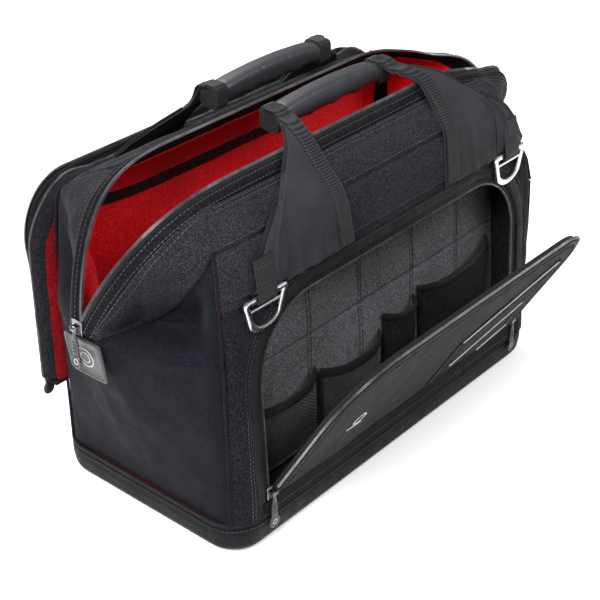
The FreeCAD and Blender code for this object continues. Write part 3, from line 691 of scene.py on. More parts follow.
# ---- front panel and pocket ----
def make_front():
    half, _, high, radius = FRONT_ARCH
    top_s = 223.4

    def face(u, v):
        z = 33.0 + v
        return front(u, set_back(u, z), v)

    def relief(u, v):
        over = np.maximum(np.abs(u) - 150, 0) / 60
        roll = -2.2 * bump_at(v, high + 1.5, 6.0) * (np.abs(u) < 128)
        roll = roll - 2.2 * bump_at(np.abs(u), half + 1.5, 6.0) * (v < 133)
        seams = -0.8 * bump_at(v, 217.5, 2.2) - 0.8 * bump_at(np.abs(u), 214.0, 2.2)
        return 0.9 + 0.35 * rumple(u, v, 60, 5) * (1 + over) + roll + seams

    panel = Panel(face, relief)
    inner = arch_line(half, 0.6, high, radius)
    outer = arch_line(PANEL_X, 0.6, top_s, 9.0)
    t = np.linspace(0, 1, 15)[:, None]
    u = inner[:, 0] * (1 - t) + outer[:, 0] * t
    v = inner[:, 1] * (1 - t) + outer[:, 1] * t
    build = panel.skin(u, v, 3.6)
    fu, fv = np.meshgrid(np.linspace(-half + 0.2, half - 0.2, 130), np.linspace(0.6, 15.5, 7))
    panel.skin(fu, fv, 3.6, build)
    build.piece("front_panel", "shell", nodes=["front_frame_panel"], soft=True)

    thread = Build()
    for d in (13.0, 16.5):
        line = arch_line(half + d, 3, high + min(d, 9.0) + (0 if d < 14 else 2.5), radius + 9)
        panel.seam(thread, line[:, 0], line[:, 1])
    panel.seam(thread, [-196, 196], [6.0, 6.0])
    thread.piece("front_panel_stitching", "thread", soft=True)

    tape = Build()
    for a, b, y in ((-5.6, 2.5, 1.5), (2.0, 11.5, -0.9)):
        near, far = (arch_line(half + d, 18, high + d, radius + d) for d in (a, b))
        t = np.linspace(0, 1, 4)[:, None]
        x, s = np.moveaxis(near * (1 - t[..., None]) + far * t[..., None], -1, 0)
        depth = y - 0.9 * bump_at(t, 0.5, 0.7) + set_back(x, s + 33)
        tape.slab(front(x, depth, s), front(x, depth + 1.0, s))
    tape.piece("front_zip_tape", "tape", "bag_body", "zip", ["front_pocket_zip"])
    line = arch_line(half - 5.9, 18, high - 5.9, radius - 5.9)
    path = front(line[:, 0], 2.0, line[:, 1])
    across = unit(np.cross(np.gradient(path, axis=0), front(0, 1, 0) - front(0, 0, 0)))
    chain = teeth_row(Build(), path, across, FRONT_OUT, size=(1.0, 2.0, 2.3))
    chain.piece("front_zip_teeth", "teeth", "bag_body", "zip")

    lining = Build()
    rows = []
    for y, d in ((3.9, 2.0), (10, 4.0), (18, 4.4), (26, 3.8), (32.5, 3.0)):
        rows.append((y, arch_line(half + d, 13, high + d, radius + d)))
    grid = np.array([front(line[:, 0] + 0.5 * rumple(line[:, 0], line[:, 1] + y, 50, 9),
                           y, line[:, 1]) for y, line in rows])
    back = np.array([front(line[:, 0] * (1 + 1.4 / half), y, line[:, 1] + 1.4) for y, line in rows])
    lining.slab(grid, back)
    fu, fv = np.meshgrid(np.linspace(-half, half, 80), np.linspace(3.9, 32.5, 5))
    lining.slab(front(fu, fv, 14.4), front(fu, fv, 13.2))
    lining.piece("front_pocket_lining", "inner", "bag_body", "dark_lining", ["front_pocket_gusset"])

    def pleats(u, v):
        folds = sum(-1.6 * bump_at(u, c, 3.0) for c in (-95.0, -20.0, 62.0, 138.0))
        return folds + 1.1 * rumple(u, v, 90, 11) - 0.8 * bump_at(v, 128, 2.5)

    wall = Panel(lambda u, v: front(u, 32.0, v), pleats)
    u, v = arch_area(half + 3.0, 13.0, high + 3.5, radius + 3.5, 190, 66)
    wall.skin(u, v, 1.9).piece("front_pocket_wall", "pocket", nodes=["front_pocket_back"])
    thread = Build()
    for c in (-97.5, -92.5, -22.5, -17.5, 59.5, 64.5, 135.5, 140.5):
        wall.seam(thread, [c, c], [16, 205])
    wall.seam(thread, [-198, 198], [131, 131])
    thread.piece("front_pocket_stitching", "thread")

    x, s = np.meshgrid(np.linspace(-224, 224, 80), np.linspace(-18, 221, 50))
    x = x * (1 - 0.17 * ease(s, 120, 190))
    inside = Panel(lambda u, v: front(u, 36.6, v), None, -1.0)
    inside.skin(x, s, 1.3).piece("front_wall_lining", "red", "bag_body", "red_lining", ["lining_front"], soft=True)


def organiser_wall(left, right, stand, high, slant=0.0):
    """A slip pocket's front, bulging forward from the back wall; its top may slant."""
    wall, foot = 30.0, 17.0
    middle, half = (left + right) / 2, (right - left) / 2

    def base(u, v):
        t = np.clip((u - middle) / half, -1, 1)
        h = np.clip(v, 0, 1.0)
        top = high + slant * t - 3.0 * (1 - t * t)
        s = foot + (top - foot) * h
        bulge = (1 - np.abs(t) ** 3.2) * (0.25 + 0.75 * ease(h, -0.1, 0.75))
        return front(u, wall - (wall - stand) * bulge, s)

    return base


def pocket_skin(build, left, right, stand, high, slant=0.0, thick=1.3, across=44, up=30):
    base = organiser_wall(left, right, stand, high, slant)
    u, v = np.meshgrid(np.linspace(left, right, across), np.linspace(0, 1, up))
    grid = base(u, v)
    grid = grid + FRONT_OUT * (0.7 * rumple(u, v * 80, 34, 13))[..., None]
    build.slab(grid, grid - FRONT_OUT * thick)
    return grid[-1]


def make_organisers():
    cloth, rims = Build(), Build()
    for left, right, stand, high, slant in ((12, 62, 17.5, 100, 0), (70, 190, 15.5, 110, 5.0)):
        top = pocket_skin(cloth, left, right, stand, high, slant)
        rims.sweep(even(top - FRONT_OUT * 0.6, 2.5), ring_section(3.4, 7.0, 12, 3), FRONT_UP)
    cloth.piece("slip_pockets", "inner", "bag_body", "dark_lining", ["fabric_pockets"])

    net = Build()
    for left, right, stand, high in ((-190, -92, 15.5, 90), (-86, 6, 15.5, 84)):
        base = organiser_wall(left, right, stand, high)
        pitch = 4.6
        columns, rows = int((right - left) / pitch), int((high - 17) / (pitch * 0.8))
        for i in range(-rows, columns):
            for lean in (1, -1):
                n = rows * 3 + 1
                h = np.linspace(0, 1, n)
                start = i if lean > 0 else i + rows
                u = left + (start + lean * h * rows) * pitch
                keep = (u > left + 0.5) & (u < right - 0.5)
                if keep.sum() < 4:
                    continue
                path = base(u[keep], h[keep])
                net.sweep(path, ring_section(1.25, 0.9, 4, 2), FRONT_OUT)
        u, v = np.meshgrid(np.linspace(left, right, 30), [0, 0.03, 0.06])
        net.slab(base(u, v) + (0, -0.8, 0), base(u, v) + (0, 0.8, 0))
        top = base(np.linspace(left, right, 50), np.full(50, 1.0))
        rims.sweep(even(top, 2.5), ring_section(3.2, 10.0, 12, 3), FRONT_UP)
        for x in (left + 1.0, right - 1.0):
            edge = base(np.full(20, float(x)), np.linspace(0, 1, 20))
            rims.sweep(edge, ring_section(2.4, 6.0, 10, 3), (1, 0, 0))
    net.piece("net_pockets", "net", "bag_body", "mesh", ["mesh_pockets"], 60)
    rims.piece("organiser_bindings", "binding", "bag_body", "dark_lining")


# ---- front flap ----
def make_front_flap():
    half, high, radius = (FRONT_ARCH[k] - ZIP_GAP for k in (0, 2, 3))
    low = FRONT_ARCH[1] + 3

    def edge_distance(u, v):
        cx = np.maximum(np.abs(u) - (half - radius), 0)
        cz = np.maximum(v - (high - radius), 0)
        return radius - np.hypot(cx, cz)

    def relief(u, v):
        d = edge_distance(u, v)
        rolled = -2.2 * (1 - ease(d, 0.0, 7.0))
        seams = -0.9 * bump_at(d, 12.5, 2.4) - 0.9 * bump_at(v, 47.0, 2.4) * (d > 4)
        return 0.8 + rolled + seams + 0.55 * rumple(u, v, 85, 21)

    face = Panel(lambda u, v: front_flap(u, 0.0, v), relief)
    u, v = arch_area(half, low, high, radius, 170, 62)
    face.skin(u, v, 5.8).piece("flap_outer", "shell", "front_flap", "shell_fabric", ["front_flap_panel"])

    back = Panel(lambda u, v: front_flap(u, FLAP_THICK - 1.4, v),
                 lambda u, v: 0.4 + 0.6 * rumple(u, v, 70, 23) - 0.6 * bump_at(v, 60, 2.5), -1.0)
    u, v = arch_area(half - 2.5, low + 1, high - 2.5, radius - 2.5, 150, 56)
    back.skin(u, v, 1.2).piece("flap_lining", "inner", "front_flap", "dark_lining", ["front_flap_lining"])

    rim = Build()
    line = arch_line(half + 0.6, low - 2, high + 0.6, radius + 0.6)
    path = front_flap(line[:, 0], 3.8, line[:, 1])
    out = unit(np.cross(np.gradient(path, axis=0), front_flap(0, 1, 0) - front_flap(0, 0, 0)))
    out = out * np.sign(np.sum(out * (path - front_flap(0, 3.8, 60)), -1, keepdims=True))
    rim.sweep(path, ring_section(9.0, 5.4, 16, 2.8), out)
    rim.piece("flap_binding", "binding", "front_flap", "shell_fabric")

    tape = Build()
    rows = [arch_line(half + d, low + 14, high + d, radius + d) for d in (2.0, 3.6, 5.2)]
    tape.slab(np.array([front_flap(r[:, 0], 1.4, r[:, 1]) for r in rows]),
              np.array([front_flap(r[:, 0], 2.5, r[:, 1]) for r in rows]))
    tape.piece("flap_zip_tape", "tape", "front_flap", "zip", ["front_flap_zip"])
    line = arch_line(half + 5.9, low + 14, high + 5.9, radius + 5.9)
    path = front_flap(line[:, 0], 2.0, line[:, 1])
    chain = teeth_row(Build(), path, np.cross(np.gradient(path, axis=0), front_flap(0, 1, 0) - front_flap(0, 0, 0)),
                      FLAP_OUT, size=(1.0, 2.0, 2.3))
    chain.piece("flap_zip_teeth", "teeth", "front_flap", "zip")

    thread = Build()
    for d in (11.0, 14.0):
        line = arch_line(half - d, low + 4, high - d, radius - d)
        face.seam(thread, line[:, 0], line[:, 1])
    face.seam(thread, [-half + 6, half - 6], [45.2, 45.2])
    face.seam(thread, [-half + 6, half - 6], [49.0, 49.0])

    def pocket(u, v):
        """A point of the flap's face."""
        return front_flap(u, 0.0, v)

    low_s, left, right = low + 12, 30.0, 150.0

    def pocket_top(x):
        return low + 84 + (x - left) * 0.5

    pu, pv = np.meshgrid(np.linspace(left, right, 60), np.linspace(0, 1, 40))
    s = low_s + (pocket_top(pu) - low_s) * pv
    edge = np.minimum(np.minimum(pu - left, right - pu), np.minimum(s - low_s, (pocket_top(pu) - s) * 0.9))
    rise = 1.2 + 2.4 * ease(edge, 0, 16)
    grid = pocket(pu, s) + FLAP_OUT * (rise + 0.3 * rumple(pu, s, 40, 27))[..., None]
    inner = pocket(pu, s) + FLAP_OUT * 0.4
    Build().slab(grid, inner).piece("flap_pocket", "shell", "front_flap", "shell_fabric", ["front_flap_pocket"])
    trim = Build()
    for x0, s0, x1, s1, lift in ((left + 2, pocket_top(left + 2) + 0.5, right - 2, pocket_top(right - 2) + 0.5, 2.4),
                                 (left + 14, low_s + 26, right - 22, low_s + 78, 4.2),
                                 (right - 44, low_s + 8, right - 6, low_s + 27, 4.0)):
        path = even(pocket(np.array([x0, x1]), np.array([s0, s1])) + FLAP_OUT * lift, 3)
        trim.sweep(path, ring_section(1.7, 1.4, 8, 2), FLAP_OUT)
    trim.piece("flap_pocket_piping", "piping", "front_flap", "shell_fabric")
    bound = Build()
    for x0, s0, x1, s1 in ((left, low_s, left, pocket_top(left)), (right, low_s, right, pocket_top(right)),
                           (left, low_s, right, low_s)):
        path = even(pocket(np.array([x0, x1]), np.array([s0, s1])) + FLAP_OUT * 1.6, 3)
        bound.sweep(path, ring_section(4.2, 1.8, 10, 3), FLAP_OUT)
    bound.piece("flap_pocket_binding", "binding", "front_flap", "shell_fabric")
    thread.piece("flap_stitching", "thread", "front_flap", "shell_fabric")

    mark = Build()
    a = np.linspace(0, 2 * math.pi, 40, endpoint=False)
    loop = face.at(-118 + 7.5 * np.cos(a), 92 + 7.5 * np.sin(a), 0.25)
    mark.sweep(loop, ring_section(1.6, 0.5, 6, 2.5), FLAP_OUT, True)
    bar = face.at(np.linspace(-128, -108, 12), np.full(12, 79.0), 0.25)
    mark.sweep(bar, ring_section(2.4, 0.5, 6, 2.5), FLAP_OUT)
    mark.piece("flap_plain_mark", "mark", "front_flap", "shell_fabric")

    fold = Build()
    x, t = np.meshgrid(np.linspace(-half + 0.5, half - 0.5, 120), np.linspace(0, 1, 9))
    a, b = front(x, 1.4, 12.0), front_flap(x, 3.0, 21.0)
    dip = (front(0, -1, -0.5) - front(0, 0, 0)) * (4 * t * (1 - t) * 0.6)[..., None]
    grid = a * (1 - t[..., None]) + b * t[..., None] + dip
    fold.slab(grid, grid - normals_of(grid) * 1.8)
    fold.piece("flap_fold", "binding", ("bag_body", "front_flap"), "shell_fabric",
               span=(front(0, 1.4, 12.0), front_flap(0, 3.0, 20.0)))


# ---- ends and the cloth of the mouth ----


def end_point(q, rise, inset=0.0):
    """A point of the right end panel: q runs from the front seam (-1) to the rear seam (1)."""
    q, rise = np.broadcast_arrays(np.asarray(q, float), np.asarray(rise, float))
    fall = np.clip((np.abs(q) - 0.15) / 0.85, 0, 1)
    fall = fall * (0.55 + 0.45 * fall) * 0.5 + fall * 0.5
    top_x, top_z = 298.0 - 62.0 * fall, 222.0 - 19.0 * fall
    z = 33.4 + (top_z - 33.4) * rise
    out = SIDE_X + (top_x - SIDE_X) * np.clip(rise, 0, 2) ** 1.3
    y_low, y_high = front_y(z) + set_back(PANEL_X, z), rear_y(z) - set_back(PANEL_X, z)
    y = y_low + (y_high - y_low) * (q + 1) / 2
    r = corner_radius(z)
    gap = np.clip(np.minimum(y - front_y(z), rear_y(z) - y), 0, r)
    x = out - (r - np.sqrt(np.maximum(r * r - (r - gap) ** 2, 0)))
    return points(x - inset, y, z)


def side_line(a, rear_side):
    """The seam from an end panel's upper corner up to the end of the hem, on the right end."""
    if rear_side:
        knots = np.array([(236, 103, 203), (235, 101, 225), (234, 98.5, 252), (232.5, 96, 280), (230, 92.5, 303),
                          (225, 78, 315), (218, 61, 325), (211, 46, 332)], float)
    else:
        knots = np.array([(236, -103.5, 203), (234.5, -102, 222), (233.5, -99.8, 240), (233, -98.5, 257),
                          (232, -96, 284), (229, -90, 306), (222, -80, 320), (212, -69.5, 331.5)], float)
    line = curve(knots, 2.0)
    return sample(line, a, np.linspace(0, 1, len(line)))


def mouth_point(angle, rear_side):
    """A point of the mouth's edge, from the spout (0 degrees) to the straight top (90)."""
    a = np.radians(np.asarray(angle, float))
    c, s = np.maximum(np.cos(a), 0), np.sin(a)
    y = 32.0 * s ** 2.5 if rear_side else -60.0 * s
    return points(140.0 + 158.0 * c ** 0.6, y, 225.0 + 116.0 * s)


def mouth_path(rear_side):
    """The right half of the mouth's edge, from the spout to the middle, and its outward direction."""
    leg = mouth_point(MOUTH_ANGLES, rear_side)
    straight = points(np.linspace(140, 0, 60)[1:], leg[-1, 1], leg[-1, 2])
    path = np.vstack([leg, straight])
    share = np.concatenate([MOUTH_ANGLES / 90.0, np.ones(59)])
    if rear_side:
        stops = [(-0.15, 1.0, 0.0), (-0.42, 0.88, 0.10), (-0.2, 0.86, -0.42), (0.0, 0.783, -0.62)]
    else:
        stops = [(-0.15, -1.0, 0.0), (-0.5, -0.82, -0.18), (-0.22, -0.8, -0.5), (0.0, -0.707, -0.707)]
    outward = sample(np.array(stops), share, [0, 0.5, 0.78, 0.93])
    ahead = unit(np.gradient(path, axis=0))
    outward = unit(outward - ahead * np.sum(outward * ahead, -1, keepdims=True))
    normal = unit(np.cross(ahead, outward))
    normal = normal * np.where(rear_side, -1.0, 1.0)
    if normal[-1, 2] < 0:
        normal = -normal
    return path, outward, normal


def make_ends():
    def relief(q, rise):
        hollow = -7.0 * bump_at(np.abs(q), 0.56, 0.42) * ease(rise, 0.35, 0.95)
        drape = 1.3 * rumple(q * 110, rise * 170, 80, 31) * ease(rise, 0.0, 0.4) * (1 - ease(np.abs(q), 0.85, 1.0))
        pleat = -3.0 * bump_at(q + 0.62 - 0.25 * (1 - rise), 0.0, 0.07) * ease(rise, 0.55, 1.0)
        return hollow + drape + pleat

    wall = Panel(lambda u, v: end_point(u, v), relief)
    q, rise = np.meshgrid(np.linspace(-1, 1, 110), np.linspace(0, 1, 90))
    build = wall.skin(q, rise, 2.8)
    build.piece("end_wall_right", "side", nodes=["end_panel_right"], soft=True)
    build.mirrored().piece("end_wall_left", "side", nodes=["end_panel_left"])

    seams, thread = Build(), Build()
    for side in (-1, 1):
        z = np.linspace(34, 203, 60)
        y = front_y(z) + set_back(PANEL_X, z) if side < 0 else rear_y(z) - set_back(PANEL_X, z)
        path = points(PANEL_X + 2.2 * ease(z, 60, 200) + 0.9, y + side * 0.9, z)
        seams.sweep(even(path, 3), ring_section(3.0, 3.0, 10, 2), (1, 0, 0))
    top = wall.at(np.linspace(-0.985, 0.985, 150), np.full(150, 0.997), -1.2)
    seams.sweep(even(top, 3), ring_section(3.6, 2.6, 10, 2), (0, 0, 1))
    wall.seam(thread, np.linspace(-0.965, -0.12, 60), np.full(60, 0.965), 4.4)
    wall.seam(thread, np.linspace(0.12, 0.965, 60), np.full(60, 0.965), 4.4)
    seams.both().piece("end_seam_cords", "side", soft=True)
    thread.both().piece("end_stitching", "thread", soft=True)

    q, rise = np.meshgrid(np.linspace(-0.93, 0.93, 70), np.linspace(0.035, 0.985, 50))
    inner = Panel(lambda u, v: end_point(u, v, 5.0), lambda u, v: 0.8 * rumple(u * 110, v * 170, 60, 33)
                  - 7.0 * bump_at(np.abs(u), 0.56, 0.42) * ease(v, 0.35, 0.95))
    inner.skin(q, rise, 1.3).both().piece("end_linings", "red", "bag_body", "red_lining", ["lining_ends"], soft=True)


def gusset_point(a, b, rear_side):
    """A point of the soft triangle between end panel, side seam and zip leg: a runs up it, b to the leg."""
    sign = 1.0 if rear_side else -1.0
    path, outward, _ = mouth_path(rear_side)
    edge = path + outward * 11.0
    steps = np.arange(len(MOUTH_ANGLES))
    leg = sample(edge, np.interp(5.0 + 73.0 * a, MOUTH_ANGLES, steps))
    foot = sample(edge, np.interp(5.0, MOUTH_ANGLES, steps))
    side = side_line(a, rear_side)
    corner = side_line(np.zeros(1), rear_side)[0]
    crease = end_point(sign * (1.0 - 0.9 * b), np.ones_like(b))
    b3, a3 = b[..., None], a[..., None]
    base = (1 - b3) * side + b3 * leg + (1 - a3) ** 1.5 * (crease - ((1 - b3) * corner + b3 * foot))
    inward = unit(np.array([-0.72, -0.28 * sign, -0.42]))
    edge_fade = np.sin(math.pi * np.clip(b, 0, 1)) ** 0.8 * np.sin(math.pi * np.clip(a, 0, 1) ** 0.75) ** 0.9
    fold_at = 0.17 + 0.12 * (1 - b)
    valley = ease(a, 0.012, fold_at) * (1 - ease(a, fold_at + 0.03, fold_at + 0.36))
    valley = valley * ease(b, 0.06, 0.36) * (1 - ease(b, 0.86, 1.0))
    second = bump_at(a - 0.40 - 0.25 * (1 - b), 0.0, 0.10) * ease(b, 0.10, 0.4) * (1 - ease(b, 0.55, 0.9))
    lip = bump_at(a, fold_at + 0.19, 0.13) * ease(b, 0.08, 0.4) * (1 - ease(b, 0.8, 0.97))
    crumple = rumple(a * 130, b * 90, 60, 41 if rear_side else 43)
    depth = edge_fade * (3.5 + 2.2 * crumple) + (22.0 if rear_side else 38.0) * valley + 4.0 * second - 5.0 * lip
    return base + inward * depth[..., None]


def gusset_seam(t, rear_side):
    """Where the padded band beside the zip meets the smooth cloth: (a, b) for t from the spout up."""
    top = 0.745 if not rear_side else 0.66
    a = np.interp(t, [0, 0.3, 0.6, 0.8, 1.0], [0.03, 0.22, 0.50, top, 1.0])
    b = np.interp(t, [0, 0.3, 0.6, 0.8, 1.0], [0.93, 0.70, 0.34, 0.0, 0.0])
    return a, b


def make_gussets():
    for half, sign in SIGNS.items():
        rear_side = sign > 0
        bodies, outside = ("bag_body", f"mouth_{half}"), (0.7, 0.3 * sign, 0.5)
        seam_a, seam_b = gusset_seam(np.linspace(0, 0.8, 70), rear_side)
        rise, b = np.meshgrid(np.linspace(0, 1, 60), np.linspace(0, 0.93, 80), indexing="ij")
        smooth = gusset_point(rise * np.interp(b, seam_b[::-1], seam_a[::-1]), b, rear_side)
        cloth = Build().slab(smooth, smooth - facing(smooth, outside) * 2.2)
        cloth.both().piece(f"gussets_{half}", "side", bodies, "shell_fabric", [f"end_gussets_{half}"], **MOUTH_SPAN)

        t, w = np.meshgrid(np.linspace(0, 1, 90), np.linspace(0, 1, 26), indexing="ij")
        low_a, low_b = gusset_seam(t, rear_side)
        leg_a = np.interp(t, [0, 0.8, 1.0], [0.03, 0.86, 1.0])
        band = gusset_point(low_a * (1 - w) + leg_a * w, low_b * (1 - w) + w, rear_side)
        normal = facing(band, outside)
        puff = (1.2 + 3.0 * np.sin(math.pi * np.clip(w, 0, 1)) ** 0.5 * (1 - ease(t, 0.86, 1.0)) * ease(t, 0.0, 0.25)
                - 0.9 * bump_at(w, 0.86, 0.06))
        face = band + normal * puff[..., None]
        pad = Build().slab(face, band - normal * 2.0).both().piece(
            f"padded_bands_{half}", "shoulder", bodies, "shell_fabric", **MOUTH_SPAN)
        thread = Build()
        for column in (21, 24):
            row = (slice(3, -3), column)
            teeth_row(thread, face[row] + normal[row] * 0.15, np.gradient(face, axis=1)[row], normal[row], 4.4,
                      (3.0, 0.7, 0.5))
        thread.both().piece(f"band_stitching_{half}", "thread", bodies, "shell_fabric", **MOUTH_SPAN)

        a, b = np.meshgrid(np.linspace(0.07, 0.90, 50), np.linspace(0.16, 0.96, 50), indexing="ij")
        inner = gusset_point(a, b, rear_side)
        normal = facing(inner, outside)
        lining = Build().slab(inner - normal * 5.0, inner - normal * 6.0)
        lining.both().piece(f"gusset_linings_{half}", "red", bodies, "red_lining", **MOUTH_SPAN)
        cord = Build()
        line = side_line(np.linspace(0.01, 0.74, 70), rear_side) + points(0.8, 0.6 * sign, 0)
        cord.sweep(even(line, 3), ring_section(3.0, 2.6, 10, 2), (1, 0, 0))
        hem_line = gusset_point(seam_a, seam_b, rear_side)
        cord.sweep(even(hem_line, 3) + points(0.7, 0.5 * sign, 0.2), ring_section(2.0, 1.8, 8, 2), (1, 0, 0))
        cord.both().piece(f"side_seam_cords_{half}", "side", bodies, "shell_fabric", **MOUTH_SPAN)


def make_mouth():
    for half, sign in SIGNS.items():
        rear_side = sign > 0
        path, outward, normal = mouth_path(rear_side)
        cut = int(np.argmax(path[:, 0] < HEM_HALF))
        width, thick = 13.0, 5.2
        d = np.linspace(0, 1, 12)
        crown = thick / 2 * (1 - np.abs(2 * d - 1) ** 3.5) + 0.25
        groove = -0.7 * bump_at(d, 0.24, 0.09) - 0.5 * bump_at(d, 0.8, 0.08)

        def band(rows):
            """The outer and inner face of the hem along some rows of the path."""
            middle = path[rows][:, None] + outward[rows][:, None] * (d * width)[None, :, None]
            n = normal[rows][:, None]
            return middle + n * (crown + groove)[None, :, None], middle - n * crown[None, :, None]

        straight, leg = slice(cut - 1, None), slice(0, cut)
        body = f"mouth_{half}"
        hem = Build().slab(*(np.concatenate([side, side[-2::-1] * MIRROR]) for side in band(straight)))
        hem.piece(f"hem_{half}", "hem", body, "shell_fabric", [f"mouth_hem_{half}"], soft=True)
        bodies = ("bag_body", body)
        Build().slab(*band(leg)).both().piece(f"hem_legs_{half}", "hem", bodies, "shell_fabric", **MOUTH_SPAN)

        finish = "teeth_pale" if rear_side else "teeth"
        for part, rows, rides, extra in (("", straight, body, dict(soft=True)), ("_legs", leg, bodies, MOUTH_SPAN)):
            tape, chain, stitches = Build(), Build(), Build()
            p, o, n = path[rows], outward[rows], normal[rows]
            across = np.linspace(3.0, -2.9, 4)
            grid = p[:, None] + o[:, None] * across[None, :, None]
            tape.slab(grid + n[:, None] * 0.55, grid - n[:, None] * 0.55)
            teeth_row(chain, p - o * 3.7, o, n, size=(1.0, 2.9, 2.4))
            for depth in (3.2, 10.3):
                lift = np.interp(depth / width, d, crown + groove) + 0.12
                teeth_row(stitches, p + o * depth + n * lift, o, n, 4.2, (2.9, 0.7, 0.5))
            for build, name, look, slot, nodes in (
                (tape, "mouth_tape", "tape", "zip", [f"mouth_zip{'_ends' if part else ''}_{half}"]),
                (chain, "mouth_teeth", finish, "zip", []), (stitches, "hem_stitching", "thread", "shell_fabric", []),
            ):
                build.both().piece(f"{name}{part}_{half}", look, rides, slot, nodes, **extra)

        run = path[cut + 4:] + outward[cut + 4:] * 6.6
        run = np.vstack([run, run[-2::-1] * MIRROR])
        lean = np.vstack([normal[cut + 4:], normal[-2:cut + 3:-1]])
        strip = Build().sweep(run, ring_section(8.6, 1.4, 10, 4), lean)
        strip.piece(f"stay_{half}", "steel", body, "stay_steel", [f"mouth_stay_{half}"], soft=True)


def shoulder_base(rear_side):
    """The padded shoulder's base: u across the bag as a share (-1 to 1), v up it in millimetres."""
    if rear_side:
        knots = [(0, 94.8, 302), (0, 88, 309), (0, 78, 315), (0, 63, 323), (0, 50, 329.5), (0, 42.8, 332.6)]
    else:
        knots = [(0, -105.2, 255.5), (0, -102.6, 270), (0, -99.8, 288), (0, -94.5, 305), (0, -85.5, 318.5),
                 (0, -76.5, 327), (0, -70.0, 331.6)]
    line = curve(knots, 1.0)
    along = lengths(line)
    seam = side_line(np.linspace(0, 1, 400), rear_side)
    usable = seam[seam[:, 2] >= line[0, 2] - 0.5]
    seam_t = np.linspace(0, 1, len(usable))

    def base(u, v):
        y, z = np.interp(v, along, line[:, 1]), np.interp(v, along, line[:, 2])
        share = np.clip(v / along[-1], 0, 1)
        ex, ey, ez = np.moveaxis(sample(usable, share, seam_t), -1, 0)
        turn = 16.0
        over = np.clip((np.abs(u) * ex - (ex - turn)) / turn, 0, 0.999)
        wrap = 1 - np.sqrt(1 - over * over)
        return points(u * ex, y + (ey - y) * wrap, z + (ez - z) * wrap)

    return base, along[-1]


def make_shoulders():
    for half, sign in SIGNS.items():
        rear_side = sign > 0
        base, reach = shoulder_base(rear_side)

        def relief(u, v):
            x = np.abs(u) * 225
            rims = [1 - ease(v, 1, 9), ease(v, reach - 17, reach - 9), ease(x, 200, 222)]
            puff = 2.6 * (1 - np.maximum.reduce(rims))
            seams = (-1.0 * bump_at(v, 6.0, 2.4) - 2.8 * bump_at(v, reach - DEEP_SEAM, 3.4)
                     - 0.7 * bump_at(v, reach - 4, 2.2))
            puff = puff + 1.2 * ease(v, reach - DEEP_SEAM, reach - DEEP_SEAM + 10)
            return 0.6 + puff + seams + 0.9 * rumple(u * 225, v, 75, 51 if rear_side else 53)

        face = Panel(base, relief, -1.0 if rear_side else 1.0)
        test = face.normal(np.array(0.0), np.array(reach / 2))
        if test[2] < 0:
            face.flip = -face.flip
        u, v = np.meshgrid(np.linspace(-1, 1, 230), np.linspace(0, reach, 60))
        bodies = ("bag_body", f"mouth_{half}")
        pad = face.skin(u, v, 3.4).piece(f"shoulder_{half}", "shoulder", bodies, "shell_fabric", [f"yoke_{half}"],
                                         **MOUTH_SPAN)
        thread = Build()
        for height in (reach - 5.6, reach - 2.2, reach - DEEP_SEAM + 4.6, 8.6):
            stitch_line(thread, face, np.linspace(-0.97, 0.97, 300), np.full(300, height))
        thread.piece(f"shoulder_stitching_{half}", "thread", bodies, "shell_fabric", **MOUTH_SPAN)
        inside = Panel(base, lambda u, v: -6.4 + 0.9 * rumple(u * 225, v, 50, 55), face.flip)
        u, v = np.meshgrid(np.linspace(-0.88, 0.88, 120), np.linspace(5, reach - 8, 34))
        lining = Build().slab(inside.at(u, v), inside.at(u, v, -1.2))
        lining.piece(f"shoulder_lining_{half}", "red", bodies, "red_lining", **MOUTH_SPAN)


def stitch_line(build, panel, u, v, pitch=4.4, size=(3.0, 0.7, 0.5), lift=0.12):
    """Stitches along a line of a panel whose distances aren't millimetres."""
    path = panel.at(u, v, lift)
    normal = panel.normal(u, v)
    return teeth_row(build, path, np.cross(normal, np.gradient(path, axis=0)), normal, pitch, size)


# ---- rear wall, its lining, compartment and flap ----
def chevron(x, rise=13.0, period=118.0):
    """Height of a zigzag stitch line at a distance along the bag."""
    return rise * np.abs(((np.asarray(x, float) / period) % 1.0) * 2 - 1)


